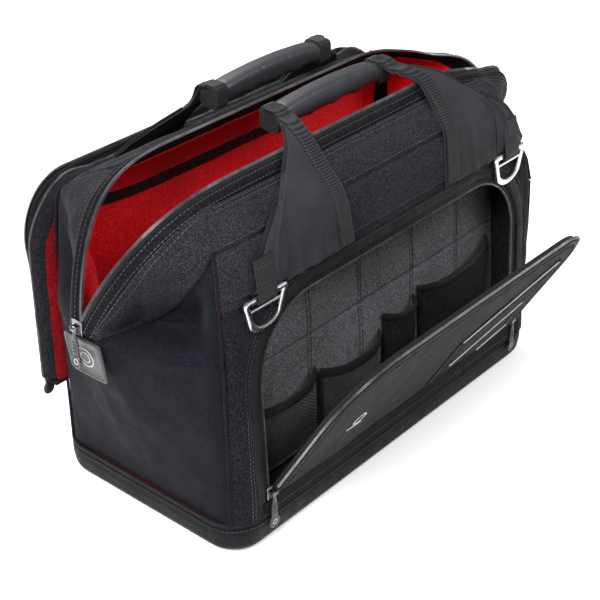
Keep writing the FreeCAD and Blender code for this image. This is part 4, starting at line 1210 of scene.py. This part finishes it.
def make_rear():
    def wall_relief(u, v):
        return 0.7 * rumple(u, v, 90, 61) - 0.9 * bump_at(v, 250, 2.6)

    wall = Panel(lambda u, v: points(u, rear_y(v) - set_back(u, v), v), wall_relief, -1.0)
    u, v = np.meshgrid(np.linspace(-PANEL_X, PANEL_X, 160), np.linspace(33.4, 302, 110))
    wall.skin(u, v, 3.4).piece("rear_wall_cloth", "shell", nodes=["rear_wall"], soft=True)

    def quilt(u, v):
        phase = (v - chevron(u)) / QUILT_PITCH
        groove = bump_at(phase - np.round(phase), 0.0, 0.10)
        return 1.4 - 1.7 * groove + 0.8 * rumple(u, v, 90, 63)

    lining = Panel(lambda u, v: points(u, rear_y(v) - 4.6 - 1.4 * set_back(u, v), v), quilt)
    u, v = np.meshgrid(np.linspace(-226, 226, 220), np.linspace(36, 301, 130))
    lining.skin(u, v, 1.0).piece("rear_lining_quilted", "red", "bag_body", "red_lining", ["lining_rear"], soft=True)
    thread = Build()
    for k in range(2, 13):
        x = np.linspace(-224, 224, 400)
        z = k * QUILT_PITCH + chevron(x)
        keep = (z > 38) & (z < 299)
        if keep.sum() > 20:
            stitch_line(thread, lining, x[keep], z[keep], 4.0, (2.6, 0.8, 0.5))
    thread.piece("rear_lining_stitching", "red_thread", "bag_body", "red_lining", soft=True)

    def sag(u, v):
        t = np.clip(np.abs(u) / 205, 0, 1)
        fall = 12.0 * (1 - t ** 6) * ease(v, 112, 150) + 4.0 * (1 - t ** 2) * bump_at(v, 205, 70)
        return fall + 0.9 * rumple(u, v, 70, 65)

    pocket = Panel(lambda u, v: points(u, rear_y(v) - 6.6, v), sag)
    u, v = np.meshgrid(np.linspace(-205, 205, 150), np.linspace(118, 274, 60))
    pocket.skin(u, v, 0.3).piece("inner_pocket_cloth", "red", "bag_body", "red_lining", ["inner_pocket"])
    elastic = Panel(lambda u, v: points(u, rear_y(v) - 6.6, v),
                    lambda u, v: 12.6 * (1 - np.clip(np.abs(u) / 205, 0, 1) ** 6) + 0.15 * np.sin(u / 1.9))
    u, v = np.meshgrid(np.linspace(-205, 205, 420), np.linspace(274, 285, 8))
    outer = elastic.at(u, v)
    Build().slab(outer, outer + np.array([0, 1.8, 0])).piece(
        "inner_elastic", "elastic", "bag_body", "elastic", ["inner_elastic_band"])

    half, _, high, radius = REAR_ARCH
    rows = []
    for t in np.linspace(0, 1, 12):
        swell = math.sin(math.pi * min(t * 1.15, 1.0)) * 3.2
        grow = ease(t, 0.0, 0.62)
        h = half - 16.5 + 20.3 * float(grow) + swell * 0.4
        line = arch_line(h, 1.0, high - 12 + 15.8 * float(grow) + swell * 0.4, radius - 12 + 12 * float(grow))
        z = line[:, 1] + 105.0
        foot = rear_y(z) - set_back(np.minimum(np.abs(line[:, 0]), PANEL_X), z) - 0.5
        y = foot + (120.4 - foot) * float(ease(t, 0.12, 1.0))
        crumple = rumple(np.arange(len(line)) * 3.0, t * 30, 46, 67) * 1.1 * math.sin(math.pi * t)
        centre = np.array([0.0, 200.0])
        away = unit(np.column_stack([line[:, 0], z]) - centre)
        rows.append(points(-(line[:, 0] + away[:, 0] * crumple), y, z + away[:, 1] * crumple))
    grid = np.array(rows)
    dip = 6.5 * ease(grid[..., 2], 280, 300) * (1 - ease(np.abs(grid[..., 0]), 172, 208))
    grid[..., 2] -= dip * (1 - ease(np.linspace(0, 1, 12), 0.86, 1.0))[:, None]
    normal = normals_of(grid)
    side = np.sign(np.sum(normal[6, 20] * (grid[6, 20] - np.array([0, 110, 200.0]))))
    ring = Build().slab(grid, grid - normal * side * 1.8)
    x, t = np.meshgrid(np.linspace(-half - 2, half + 2, 120), np.linspace(0, 1, 6))
    y = rear_y(105.0) - set_back(np.minimum(np.abs(x), PANEL_X), 105.0) - 0.5
    foot = points(x, y + (121.5 - y) * t, 104.2 + 1.2 * t)
    ring.slab(foot, foot - np.array([0, 0, 1.6]))
    ring.piece("rear_gusset_cloth", "inner", nodes=["rear_compartment_gusset"])
    # A strip of red lining on the gusset's front face, coloured a darker red as painted shade.
    facing, edge_teeth = Build(), Build()
    facing.slab(grid[1:5] + normal[1:5] * side * 0.9, grid[1:5] + normal[1:5] * side * 0.2)
    facing.piece("rear_gusset_facing_painted_shade", "red_painted_shade", "bag_body", "red_lining")
    line = even(grid[8] + normal[8] * side * 0.8, 1.9)
    spot = np.linspace(0, grid.shape[1] - 1, len(line)).astype(int)
    teeth_row(edge_teeth, line, np.gradient(grid, axis=0)[8][spot], normal[8][spot] * side, size=(1.0, 2.9, 1.6))
    edge_teeth.piece("rear_gusset_zip_teeth", "teeth", "bag_body", "zip")

    tape, chain = Build(), Build()
    rows = [arch_line(half + d, 5, high + d, radius + d) for d in (3.4, 0.5, -2.6, -5.6)]
    depths = (0.9, 0.7, 1.2, 1.5)
    tape.slab(np.array([rear(r[:, 0], y, r[:, 1]) for r, y in zip(rows, depths)]),
              np.array([rear(r[:, 0], y + 1.0, r[:, 1]) for r, y in zip(rows, depths)]))
    tape.piece("rear_zip_tape", "tape", "bag_body", "zip", ["rear_compartment_zip"])
    line = arch_line(half - 5.9, 5, high - 5.9, radius - 5.9)
    path = rear(line[:, 0], 2.0, line[:, 1])
    teeth_row(chain, path, np.cross(np.gradient(path, axis=0), (0, 1.0, 0)), (0, 1.0, 0), size=(1.0, 2.0, 2.3))
    chain.piece("rear_zip_teeth", "teeth", "bag_body", "zip")


def make_rear_flap():
    half, high, radius = (REAR_ARCH[k] - ZIP_GAP for k in (0, 2, 3))
    low = 3.0

    def distance(u, v):
        return radius - np.hypot(np.maximum(np.abs(u) - (half - radius), 0), np.maximum(v - (high - radius), 0))

    def relief(u, v):
        d = distance(u, v)
        puff = 1.6 * ease(d, 6, 26)
        return -1.0 * (1 - ease(d, 0, 5)) + puff - 0.9 * bump_at(d, 13, 2.6) + 0.6 * rumple(u, v, 100, 71)

    face = Panel(lambda u, v: rear_flap(u, 0.0, v), relief)
    probe = face.normal(np.array(0.0), np.array(90.0))
    if probe[1] < 0:
        face.flip = -1.0
    u, v = arch_area(half, low, high, radius, 180, 56)
    face.skin(u, v, 1.9).piece("rear_flap_outer", "shell", "rear_flap", "shell_fabric", ["rear_flap_panel"])

    def quilt(u, v):
        phase = (v - chevron(u)) / QUILT_PITCH
        return (0.6 * ease(distance(u, v), 4, 20) + 0.4 * rumple(u, v, 70, 73)
                - 0.7 * bump_at(phase - np.round(phase), 0.0, 0.1))

    inside = Panel(lambda u, v: rear_flap(u, 2.6, v), quilt, -face.flip)
    u, v = arch_area(half - 2.5, low + 2, high - 2.5, radius - 2.5, 180, 60)
    inside.skin(u, v, 0.7).piece("rear_flap_lining_cloth", "red", "rear_flap", "red_lining", ["rear_flap_lining"])
    thread = Build()
    for k in range(0, 8):
        x = np.linspace(-224, 224, 400)
        z = k * QUILT_PITCH + chevron(x)
        keep = (distance(x, z) > 6) & (z > low + 5) & (z < high)
        if keep.sum() > 20:
            stitch_line(thread, inside, x[keep], z[keep], 4.0, (2.6, 0.8, 0.5))
    thread.piece("rear_flap_lining_stitching", "red_thread", "rear_flap", "red_lining")
    thread = Build()
    for d in (11.4, 15.0):
        line = arch_line(half - d, low + 4, high - d, radius - d)
        stitch_line(thread, face, line[:, 0], line[:, 1])
    thread.piece("rear_flap_stitching", "thread", "rear_flap", "shell_fabric")

    rim, tape, chain = Build(), Build(), Build()
    line = arch_line(half + 0.5, low - 2, high + 0.5, radius + 0.5)
    path = rear_flap(line[:, 0], 1.9, line[:, 1])
    out = unit(np.cross(np.gradient(path, axis=0), rear_flap(0, 1, 0) - rear_flap(0, 0, 0)))
    out = out * np.sign(np.sum(out * (path - rear_flap(0, 1.9, 60)), -1, keepdims=True))
    rim.sweep(path, ring_section(5.4, 5.6, 14, 2.8), out)
    rim.piece("rear_flap_binding", "binding", "rear_flap", "shell_fabric")
    rows = [arch_line(half + d, 41, high + d, radius + d) for d in (2.0, 3.6, 5.2)]
    tape.slab(np.array([rear_flap(r[:, 0], 1.4, r[:, 1]) for r in rows]),
              np.array([rear_flap(r[:, 0], 2.4, r[:, 1]) for r in rows]))
    tape.piece("rear_flap_zip_tape", "tape", "rear_flap", "zip", ["rear_flap_zip"])
    line = arch_line(half + 5.9, 41, high + 5.9, radius + 5.9)
    path = rear_flap(line[:, 0], 2.0, line[:, 1])
    inward = rear_flap(0, 1, 0) - rear_flap(0, 0, 0)
    teeth_row(chain, path, np.cross(np.gradient(path, axis=0), inward), inward, size=(1.0, 2.0, 2.3))
    chain.piece("rear_flap_zip_teeth", "teeth", "rear_flap", "zip")

    fold = Build()
    x, t = np.meshgrid(np.linspace(-half + 0.5, half - 0.5, 100), np.linspace(0, 1, 7))
    a, b = points(x, 119.0, 104.8), rear_flap(x, 1.2, 5.0) * MIRROR
    grid = a * (1 - t[..., None]) + b * t[..., None] + points(0, 0.8, -0.4) * (4 * t * (1 - t))[..., None]
    fold.slab(grid, grid - normals_of(grid) * 1.4)
    fold.piece("rear_flap_fold", "binding", ("bag_body", "rear_flap"), "shell_fabric",
               span=((0, 119.5, 103.5), (0, 121.8, 109.5)))


# ---- handles ----
def rounded(low, high, bevel, segments=2):
    """A block with rounded edges: its points and faces."""
    shape = bmesh.new()
    bmesh.ops.create_cube(shape, size=1.0)
    low, high = np.array(low, float), np.array(high, float)
    for v in shape.verts:
        v.co = Vector((low + high) / 2 + np.array(v.co) * (high - low))
    bmesh.ops.bevel(shape, geom=shape.edges[:] + shape.verts[:], offset=bevel, segments=segments, profile=0.5,
                    affect="EDGES")
    shape.verts.ensure_lookup_table()
    verts = np.array([v.co[:] for v in shape.verts])
    faces = [[v.index for v in f.verts] for f in shape.faces]
    shape.free()
    return verts, faces


def make_grip(name, centre, grooves):
    rows = []
    ends = np.append(np.linspace(60, 65.2, 6), 66)
    for x in np.concatenate([-ends[::-1], np.linspace(-56, 56, 60), ends]):
        top = 10.0 + 4.0 * (1 - (x / 66.0) ** 2)
        scallop = 3.0 * abs(math.sin(math.pi * (x + 66) / 33.0)) ** 0.8
        low = -10.0 + scallop
        end = math.sqrt(max(1 - max((abs(x) - 59) / 7.4, 0) ** 2, 0))
        width = 11.0 * (0.86 + 0.14 * end)
        a = np.linspace(0, 2 * math.pi, 44, endpoint=False)
        c, s = np.cos(a), np.sin(a)
        y = np.sign(c) * np.abs(c) ** 0.62 * width
        middle, tall = (top + low) / 2, (top - low) / 2 * (0.86 + 0.14 * end)
        z = middle + np.sign(s) * np.abs(s) ** 0.62 * tall
        if grooves:
            y = y * (1 - 0.10 * sum(bump_at(x, g, 2.4) for g in (-18.0, 18.0)) * (np.abs(s) < 0.8))
        pinch = 0.9 * bump_at(abs(x), 58.5, 1.6)
        y, z = y * (1 - 0.05 * pinch), middle + (z - middle) * (1 - 0.05 * pinch)
        rows.append(points(centre[0] + x, centre[1] + y, centre[2] + z))
    Build().loft(rows).piece(
        f"{name}_moulded", "grip", f"handle_{name.split('_')[1]}", "grip_rubber", [name], 50)


def make_handles():
    paths = {
        "front": ([(-108.8, 257.2), (-104.6, 286), (-99.6, 308), (-88.8, 323), (-77.2, 336.6), (-66, 348.6),
                   (-53, 354), (-39, 356.6), (-32.2, 359.4), (-27.5, 361.8), (-17.0, 362.4)],
                  (160, 160, 158, 146, 129, 112, 98, 88, 84, 83, 82), (71, 73, 76, 78, 79, 79, 74, 69, 68, 67.4, 67.2)),
        "rear": ([(99.8, 306.8), (90.2, 319.4), (79.2, 332.4), (69, 344.6), (66.0, 355), (62.6, 361.6), (54, 363.2)],
                 (160, 148, 122, 92, 84, 83, 82), (71, 74, 76, 70, 68, 67.4, 67.2)),
    }
    for half, sign in SIGNS.items():
        centre = GRIPS[half]
        make_grip(f"grip_{half}", centre, half == "rear")
        path, outer, inner = paths[half]
        knots = np.column_stack([path, outer, inner])
        line = curve(np.column_stack([knots[:, 0], knots[:, 1], knots[:, 0] * 0]), 2.5)
        along, marks = lengths(line), lengths(path)
        marks = marks * along[-1] / marks[-1]
        wide, narrow = np.interp(along, marks, outer), np.interp(along, marks, inner)

        def base(u, v, line=line, along=along, wide=wide, narrow=narrow):
            w, n = np.interp(v, along, wide), np.interp(v, along, narrow)
            return points(n + (w - n) * u, np.interp(v, along, line[:, 0]), np.interp(v, along, line[:, 1]))

        def relief(u, v, reach=along[-1]):
            foot = 1 - ease(v, 0, reach * 0.45)
            pleats = 2.2 * foot * (bump_at(u - 0.55 + v / reach * 0.3, 0.0, 0.10) + 0.7 * bump_at(u - 0.78, 0.0, 0.07))
            crown = 1.6 * np.sin(math.pi * u) * ease(v, 8, 30) * (1 - ease(v, reach - 40, reach - 12))
            flat = ease(v, reach - 26, reach - 16)
            return 0.9 + pleats + crown * (1 - flat) + 0.7 * (1 - flat) * rumple(u * 80, v, 38, 81) - 0.6 * flat

        panel = Panel(base, relief)
        if panel.normal(np.array(0.5), np.array(40.0))[1] * sign < 0:
            panel.flip = -1.0
        u, v = np.meshgrid(np.linspace(0, 1, 44), np.linspace(0, along[-1], 90))
        body = f"handle_{half}"
        wing = panel.skin(u, v, 1.5)
        wing.both().piece(f"wings_{half}", "nylon", body, "webbing", [f"handle_wings_{half}"])

        strap, thread = Build(), Build()

        def strap_base(u, v, along=along, narrow=narrow, line=line):
            n = np.interp(v, along, narrow)
            return points(n + 0.4 + 17.0 * u, np.interp(v, along, line[:, 0]), np.interp(v, along, line[:, 1]))

        edge = Panel(strap_base, lambda u, v, reach=along[-1]: 3.4 - 1.5 * ease(v, reach - 26, reach - 16)
                     + 0.5 * np.sin(math.pi * u) + 0.3 * rumple(u * 17, v, 30, 83), panel.flip)
        u, v = np.meshgrid(np.linspace(0, 1, 9), np.linspace(2, along[-1], 90))
        strap.slab(edge.at(u, v), edge.at(u, v, -1.5))
        for share in (0.12, 0.88):
            line_v = np.linspace(4, along[-1] - 2, 160)
            stitch_line(thread, edge, np.full(160, share), line_v, 3.8, (2.7, 0.7, 0.5))
        v1, v0 = along[-1] - 16, along[-1] - 3
        t = np.linspace(0, 1, 20)
        for a, b in (((0.15, v0), (0.85, v1)), ((0.85, v0), (0.15, v1)), ((0.15, v0), (0.85, v0)),
                     ((0.15, v1), (0.85, v1))):
            stitch_line(thread, edge, a[0] + (b[0] - a[0]) * t, a[1] + (b[1] - a[1]) * t, 3.0, (2.2, 0.8, 0.6))
        low = 88.0 if half == "front" else 1.0
        wing_edge = panel.at(np.full(110, 0.985), np.linspace(low, along[-1] - 30, 110), -0.4)
        rim = Build().sweep(even(wing_edge, 3), ring_section(4.4, 2.6, 10, 2.6), panel.normal(0.9, 60.0))
        stitch_line(thread, panel, np.full(120, 0.93), np.linspace(2, along[-1] - 26, 120), 4.0)
        foot_v = np.full(60, 4.0)
        stitch_line(thread, panel, np.linspace(0.25, 0.98, 60), foot_v, 3.6)
        stitch_line(thread, panel, np.linspace(0.25, 0.98, 60), foot_v + 4.0, 3.6)
        rim.both().piece(f"wing_bindings_{half}", "binding", body, "webbing")

        wrap = Build()
        a = np.linspace(0, 2 * math.pi, 40, endpoint=False)
        c, s = np.cos(a), np.sin(a)
        loop_y = np.sign(c) * np.abs(c) ** 0.45 * 11.2
        loop_z = np.sign(s) * np.abs(s) ** 0.45 * 11.6
        rows = []
        for x, k in ((66.2, 0.86), (66.8, 0.97), (67.6, 1.0), (70, 1.01), (74, 1.0), (78, 1.01), (80.4, 1.0),
                     (81.2, 0.96), (81.7, 0.84)):
            rows.append(points(x, centre[1] + loop_y * k, centre[2] + loop_z * k))
        wrap.loft(rows)
        wrap.verts, wrap.faces, wrap.count = wrap.verts + strap.verts, wrap.faces + [
            tuple(i + wrap.count for i in f) for f in strap.faces], wrap.count + strap.count
        wrap.both().piece(f"handle_straps_{half}", "webbing", body, "webbing", [f"handle_webbing_{half}"])
        thread.both().piece(f"handle_stitching_{half}", "thread", body, "webbing")


# ---- corners beside the wings, and D-rings ----
def make_wing_corners():
    """The ribbed cloth beside each front wing, sewn down to the shoulder."""
    heights = [261.0, 264, 270, 286, 300, 312, 322]
    face_y = [-108.0, -108.4, -108.3, -106.2, -103.2, -98.6, -91.0]
    near = [156, 156, 156.5, 156.5, 155.5, 150.0, 143]
    far = [202, 199, 195, 188, 178, 165, 149]
    rows = np.linspace(0, 6, 60)
    z, y, x0, x1 = (np.interp(rows, np.arange(7), a) for a in (heights, face_y, near, far))
    u = np.linspace(0, 1, 34)
    x = x0[:, None] + (x1 - x0)[:, None] * u[None]
    swell = 1.2 + 1.8 * np.sin(math.pi * u)[None] ** 0.7 * np.sin(math.pi * np.linspace(0.15, 0.95, 60))[:, None]
    fold = 1.6 * bump_at(u[None], 0.35 + 0.3 * np.linspace(0, 1, 60)[:, None], 0.13)
    grid = points(x, y[:, None] - swell - fold - 0.5 * rumple(x, z[:, None], 30, 85), z[:, None])
    grid[:, -6:, 1] += (np.linspace(0, 1, 6) ** 2 * 2.2)[None]
    cloth = Build().slab(grid, grid + np.array([0, 1.6, 0.3]))
    cloth.both().piece("wing_corners_front", "nylon", "bag_body", "webbing")
    # A dark strip along each corner's outer edge.
    path = even(grid[:, -1] + np.array([1.0, 0.6, 0]), 2.5)
    edge = Build().sweep(path, ring_section(8.5, 2.2, 12, 3), (0, -1, 0.15))
    edge.both().piece("wing_corner_edge_strips", "binding", "bag_body", "webbing")


def make_d_rings():
    bar = (189.0, -109.8, 256.5)
    half, drop = 24.5, 31.0
    outline = [(-half, 0), (-half * 0.9, -7.0), (-half + 5.5, -17.5)]
    corner = np.array([(half - 5.5) * math.cos(a) for a in np.radians(np.linspace(200, 340, 22))])
    low = np.array([-17.5 + (drop - 17.5) * math.sin(a) for a in np.radians(np.linspace(200, 340, 22))])
    loop = np.vstack([outline, np.column_stack([corner, low]), [(half - 5.5, -17.5), (half * 0.9, -7.0), (half, 0)]])
    top = np.column_stack([np.linspace(half, -half, 16)[1:-1], np.zeros(14)])
    flat = even(np.vstack([loop, top]), 1.6, True)
    for _ in range(2):
        flat = (np.roll(flat, 1, 0) + 2 * flat + np.roll(flat, -1, 0)) / 4
    path = points(bar[0] + flat[:, 0], bar[1], bar[2] + flat[:, 1])
    ring = Build().sweep(path, ring_section(6.6, 4.2, 12, 2.8), (0, -1, 0), True)
    bar_x = np.linspace(-half * 0.84, half * 0.84, 16)
    ring.sweep(points(bar[0] + bar_x, bar[1], bar[2] - 9.0), ring_section(3.4, 3.0, 10, 2.4), (0, -1, 0))
    ring.mirrored().piece("d_ring_wire_left", "ring", "d_ring_left", "ring_metal", ["d_ring_left"])
    ring.shifted(RIGHT_RING_SHIFT).piece("d_ring_wire_right", "ring", "d_ring_right", "ring_metal", ["d_ring_right"])

    loop = Build()
    front_run = [(-107.4, 292.0), (-110.6, 276.0), (-112.6, 264.0)]
    arc = [(bar[1] + 4.3 * math.cos(t), bar[2] + 4.3 * math.sin(t)) for t in np.radians(np.linspace(160, 390, 24))]
    back_run = [(-106.4, 262.0), (-105.6, 272.0), (-103.0, 288.0)]
    line = np.array(front_run + arc + back_run)
    path = even(points(bar[0], line[:, 0], line[:, 1]), 1.2)
    loop.sweep(path, ring_section(24.0, 1.7, 16, 4.0), np.cross(unit(np.gradient(path, axis=0)), (1.0, 0, 0)))
    loop = loop.with_right(RIGHT_RING_SHIFT)
    loop.piece("d_ring_loops", "webbing", "bag_body", "webbing", ["d_ring_tabs"])
    thread = Build()
    for z in (266.0, 270.0, 284.0):
        y = np.interp(z, [264, 276, 292], [-112.6, -110.6, -107.4]) - 1.0
        x = np.linspace(bar[0] - 8, bar[0] + 8, 8)
        thread.blocks(points(x, y, z), points(np.ones(8), 0, 0), points(np.zeros(8), 0.18, 0.98),
                      points(np.zeros(8), -0.98, 0.18), (1.7, 0.7, 0.6))
    thread.with_right(RIGHT_RING_SHIFT).piece("d_ring_loop_stitching", "thread", "bag_body", "webbing")


# ---- sliders, pulls and patches ----
def place(verts, origin, x_axis, y_axis, z_axis):
    verts = np.asarray(verts, float)
    return np.asarray(origin, float) + verts @ np.array([x_axis, y_axis, z_axis], float)


def make_sliders():
    x_front = FRONT_ARCH[0] - ZIP_GAP / 2
    x_rear = REAR_ARCH[0] - ZIP_GAP / 2
    lean_y, lean_z = -FRONT_OUT, FRONT_UP
    spots = {
        "front_left": (front(-x_front, 0, 16.8), (1, 0, 0), lean_y, lean_z, True),
        "front_right": (front(x_front, 0, 16.8), (1, 0, 0), lean_y, lean_z, True),
        "rear_left": (rear(x_rear, 0, 6), (-1, 0, 0), (0, -1, 0), (0, 0, 1), False),
        "rear_right": (rear(-x_rear, 0, 6), (-1, 0, 0), (0, -1, 0), (0, 0, 1), False),
        "main_left": ((-300, 0, 226.5), (0, -1, 0), (1, 0, 0), (0, 0, 1), False),
        "main_right": ((300, 0, 226.5), (0, 1, 0), (-1, 0, 0), (0, 0, 1), False),
    }
    for name, (origin, xa, ya, za, leaning) in spots.items():
        metal = Build()
        parts = [rounded((-6, -1.1, 0), (6, 0.4, 13.5), 0.6), rounded((-6, 3.6, 0), (6, 5.1, 13.5), 0.6),
                 rounded((-0.85, 0.3, 8.5), (0.85, 3.7, 12.5), 0.3),
                 rounded((-4.2, -1.7, 10.6), (4.2, -0.8, 13.0), 0.4),
                 rounded((-3.4, -6.0, 4.4), (-2.4, -0.8, 9.1), 0.4),
                 rounded((2.4, -6.0, 4.4), (3.4, -0.8, 9.1), 0.4),
                 rounded((-2.6, -1.9, 1.2), (2.6, -0.9, 3.4), 0.4)]
        for verts, faces in parts:
            metal.add(place(verts, origin, xa, ya, za), faces)
        pin = place(np.array([(-3.5, -4.0, 6.75), (3.5, -4.0, 6.75)]), origin, xa, ya, za)
        metal.sweep(even(pin, 1.4), ring_section(2.2, 2.2, 10, 2), za)
        look = "slider_silver" if name.startswith("rear") else "slider"
        metal.piece(f"zip_slider_{name}", look, f"slider_{name}", "slider_metal", [f"slider_{name}"])
        hang_y, hang_z = ((0, 1.0, 0), (0, 0, 1.0)) if leaning else (ya, za)
        eye = place(np.array([(0, -4.0, 6.75)]), origin, xa, ya, za)[0]

        def local(points_in, eye=eye, xa=xa, hang_y=hang_y, hang_z=hang_z):
            return place(points_in, eye, xa, hang_y, hang_z)

        tag, metal_tag = Build(), Build()
        a = np.linspace(0, 2 * math.pi, 20, endpoint=False)
        metal_tag.sweep(local(np.column_stack([np.zeros(20), 1.9 * np.cos(a), 1.9 * np.sin(a)])),
                        ring_section(1.1, 3.6, 8, 3), np.array(xa, float), True)
        metal_tag.piece(f"pull_eye_{name}", look, f"pull_{name}", "slider_metal")
        z = np.array([-1.4, -2.2, -5, -9, -12, -16, -20, -24, -26.5, -28.0])
        w = np.array([1.7, 2.0, 2.0, 2.3, 3.3, 3.7, 3.8, 3.7, 3.9, 4.8])
        rows, outline = [], ring_section(2.0, 2.4, 16, 3.2)
        for zi, wi in zip(z, w):
            rows.append(local(np.column_stack([outline[:, 0] * wi, outline[:, 1], np.full(16, zi)])))
        tag.loft(rows)
        rings = []
        b = np.linspace(0, 2 * math.pi, 32, endpoint=False)
        for r, y in ((0.02, 1.0), (5.6, 1.2), (6.3, 0.7), (6.5, 0.0), (6.3, -0.7), (5.7, -1.5), (4.9, -1.7),
                     (4.3, -1.5), (3.9, -0.95), (0.02, -0.85)):
            rings.append(local(np.column_stack([r * np.cos(b), np.full(32, y), -32.0 + r * np.sin(b)])))
        tag.loft(rings)
        for r in range(4):
            verts, faces = rounded((-2.4, -1.75, -13.6 - r * 3.0), (2.4, -1.0, -12.4 - r * 3.0), 0.3, 1)
            tag.add(local(verts), faces)
        tag.piece(f"pull_tag_{name}", "rubber", f"pull_{name}", "patch_rubber", [f"pull_{name}"])
        ring = Build().sweep(local(np.column_stack([2.5 * np.cos(b), np.full(32, -1.05), -32.0 + 2.5 * np.sin(b)])),
                             ring_section(0.8, 0.5, 6, 2), hang_y, True)
        ring.piece(f"pull_ring_{name}", "piping", f"pull_{name}", "patch_rubber")


def make_patches():
    high = end_point(0.0, 1.0)
    down = unit(np.array([-0.16, 0, -1.0]))
    out = unit(np.cross((0, 1.0, 0), down))
    out = out * np.sign(out[0])
    build, line = Build(), Build()
    half_w, tall = 22.0, 42.0
    middle = high + down * (tall / 2) - out * 0.4
    rings = []
    for inset, lift in ((0, -1.2), (-0.2, 0.2), (0.6, 1.3), (1.6, 1.6), (2.6, 1.2), (3.4, 0.6), (10.0, 0.55),
                        (18.4, 0.5)):
        r = round_rectangle(2 * half_w, tall, 5.0, inset, 8, 8)
        rings.append(middle + points(0, 1, 0) * r[:, :1] + down * r[:, 1:2] + out * lift)
    build.loft(rings)
    build.both().piece("spout_patches", "rubber", "bag_body", "patch_rubber", ["zip_end_patches"])
    a = np.linspace(0, 2 * math.pi, 48, endpoint=False)
    for r, w in ((9.5, 1.1), (5.2, 0.9)):
        line.sweep(middle + points(0, 1, 0) * (r * np.cos(a))[:, None] + down * (r * np.sin(a))[:, None] + out * 0.75,
                   ring_section(w, 0.7, 8, 2), out, True)
    line.both().piece("spout_patch_rings", "piping", "bag_body", "patch_rubber")


make_base()
make_front()
make_organisers()
make_front_flap()
make_ends()
make_gussets()
make_mouth()
make_shoulders()
make_rear()
make_rear_flap()
make_handles()
make_wing_corners()
make_d_rings()
make_sliders()
make_patches()
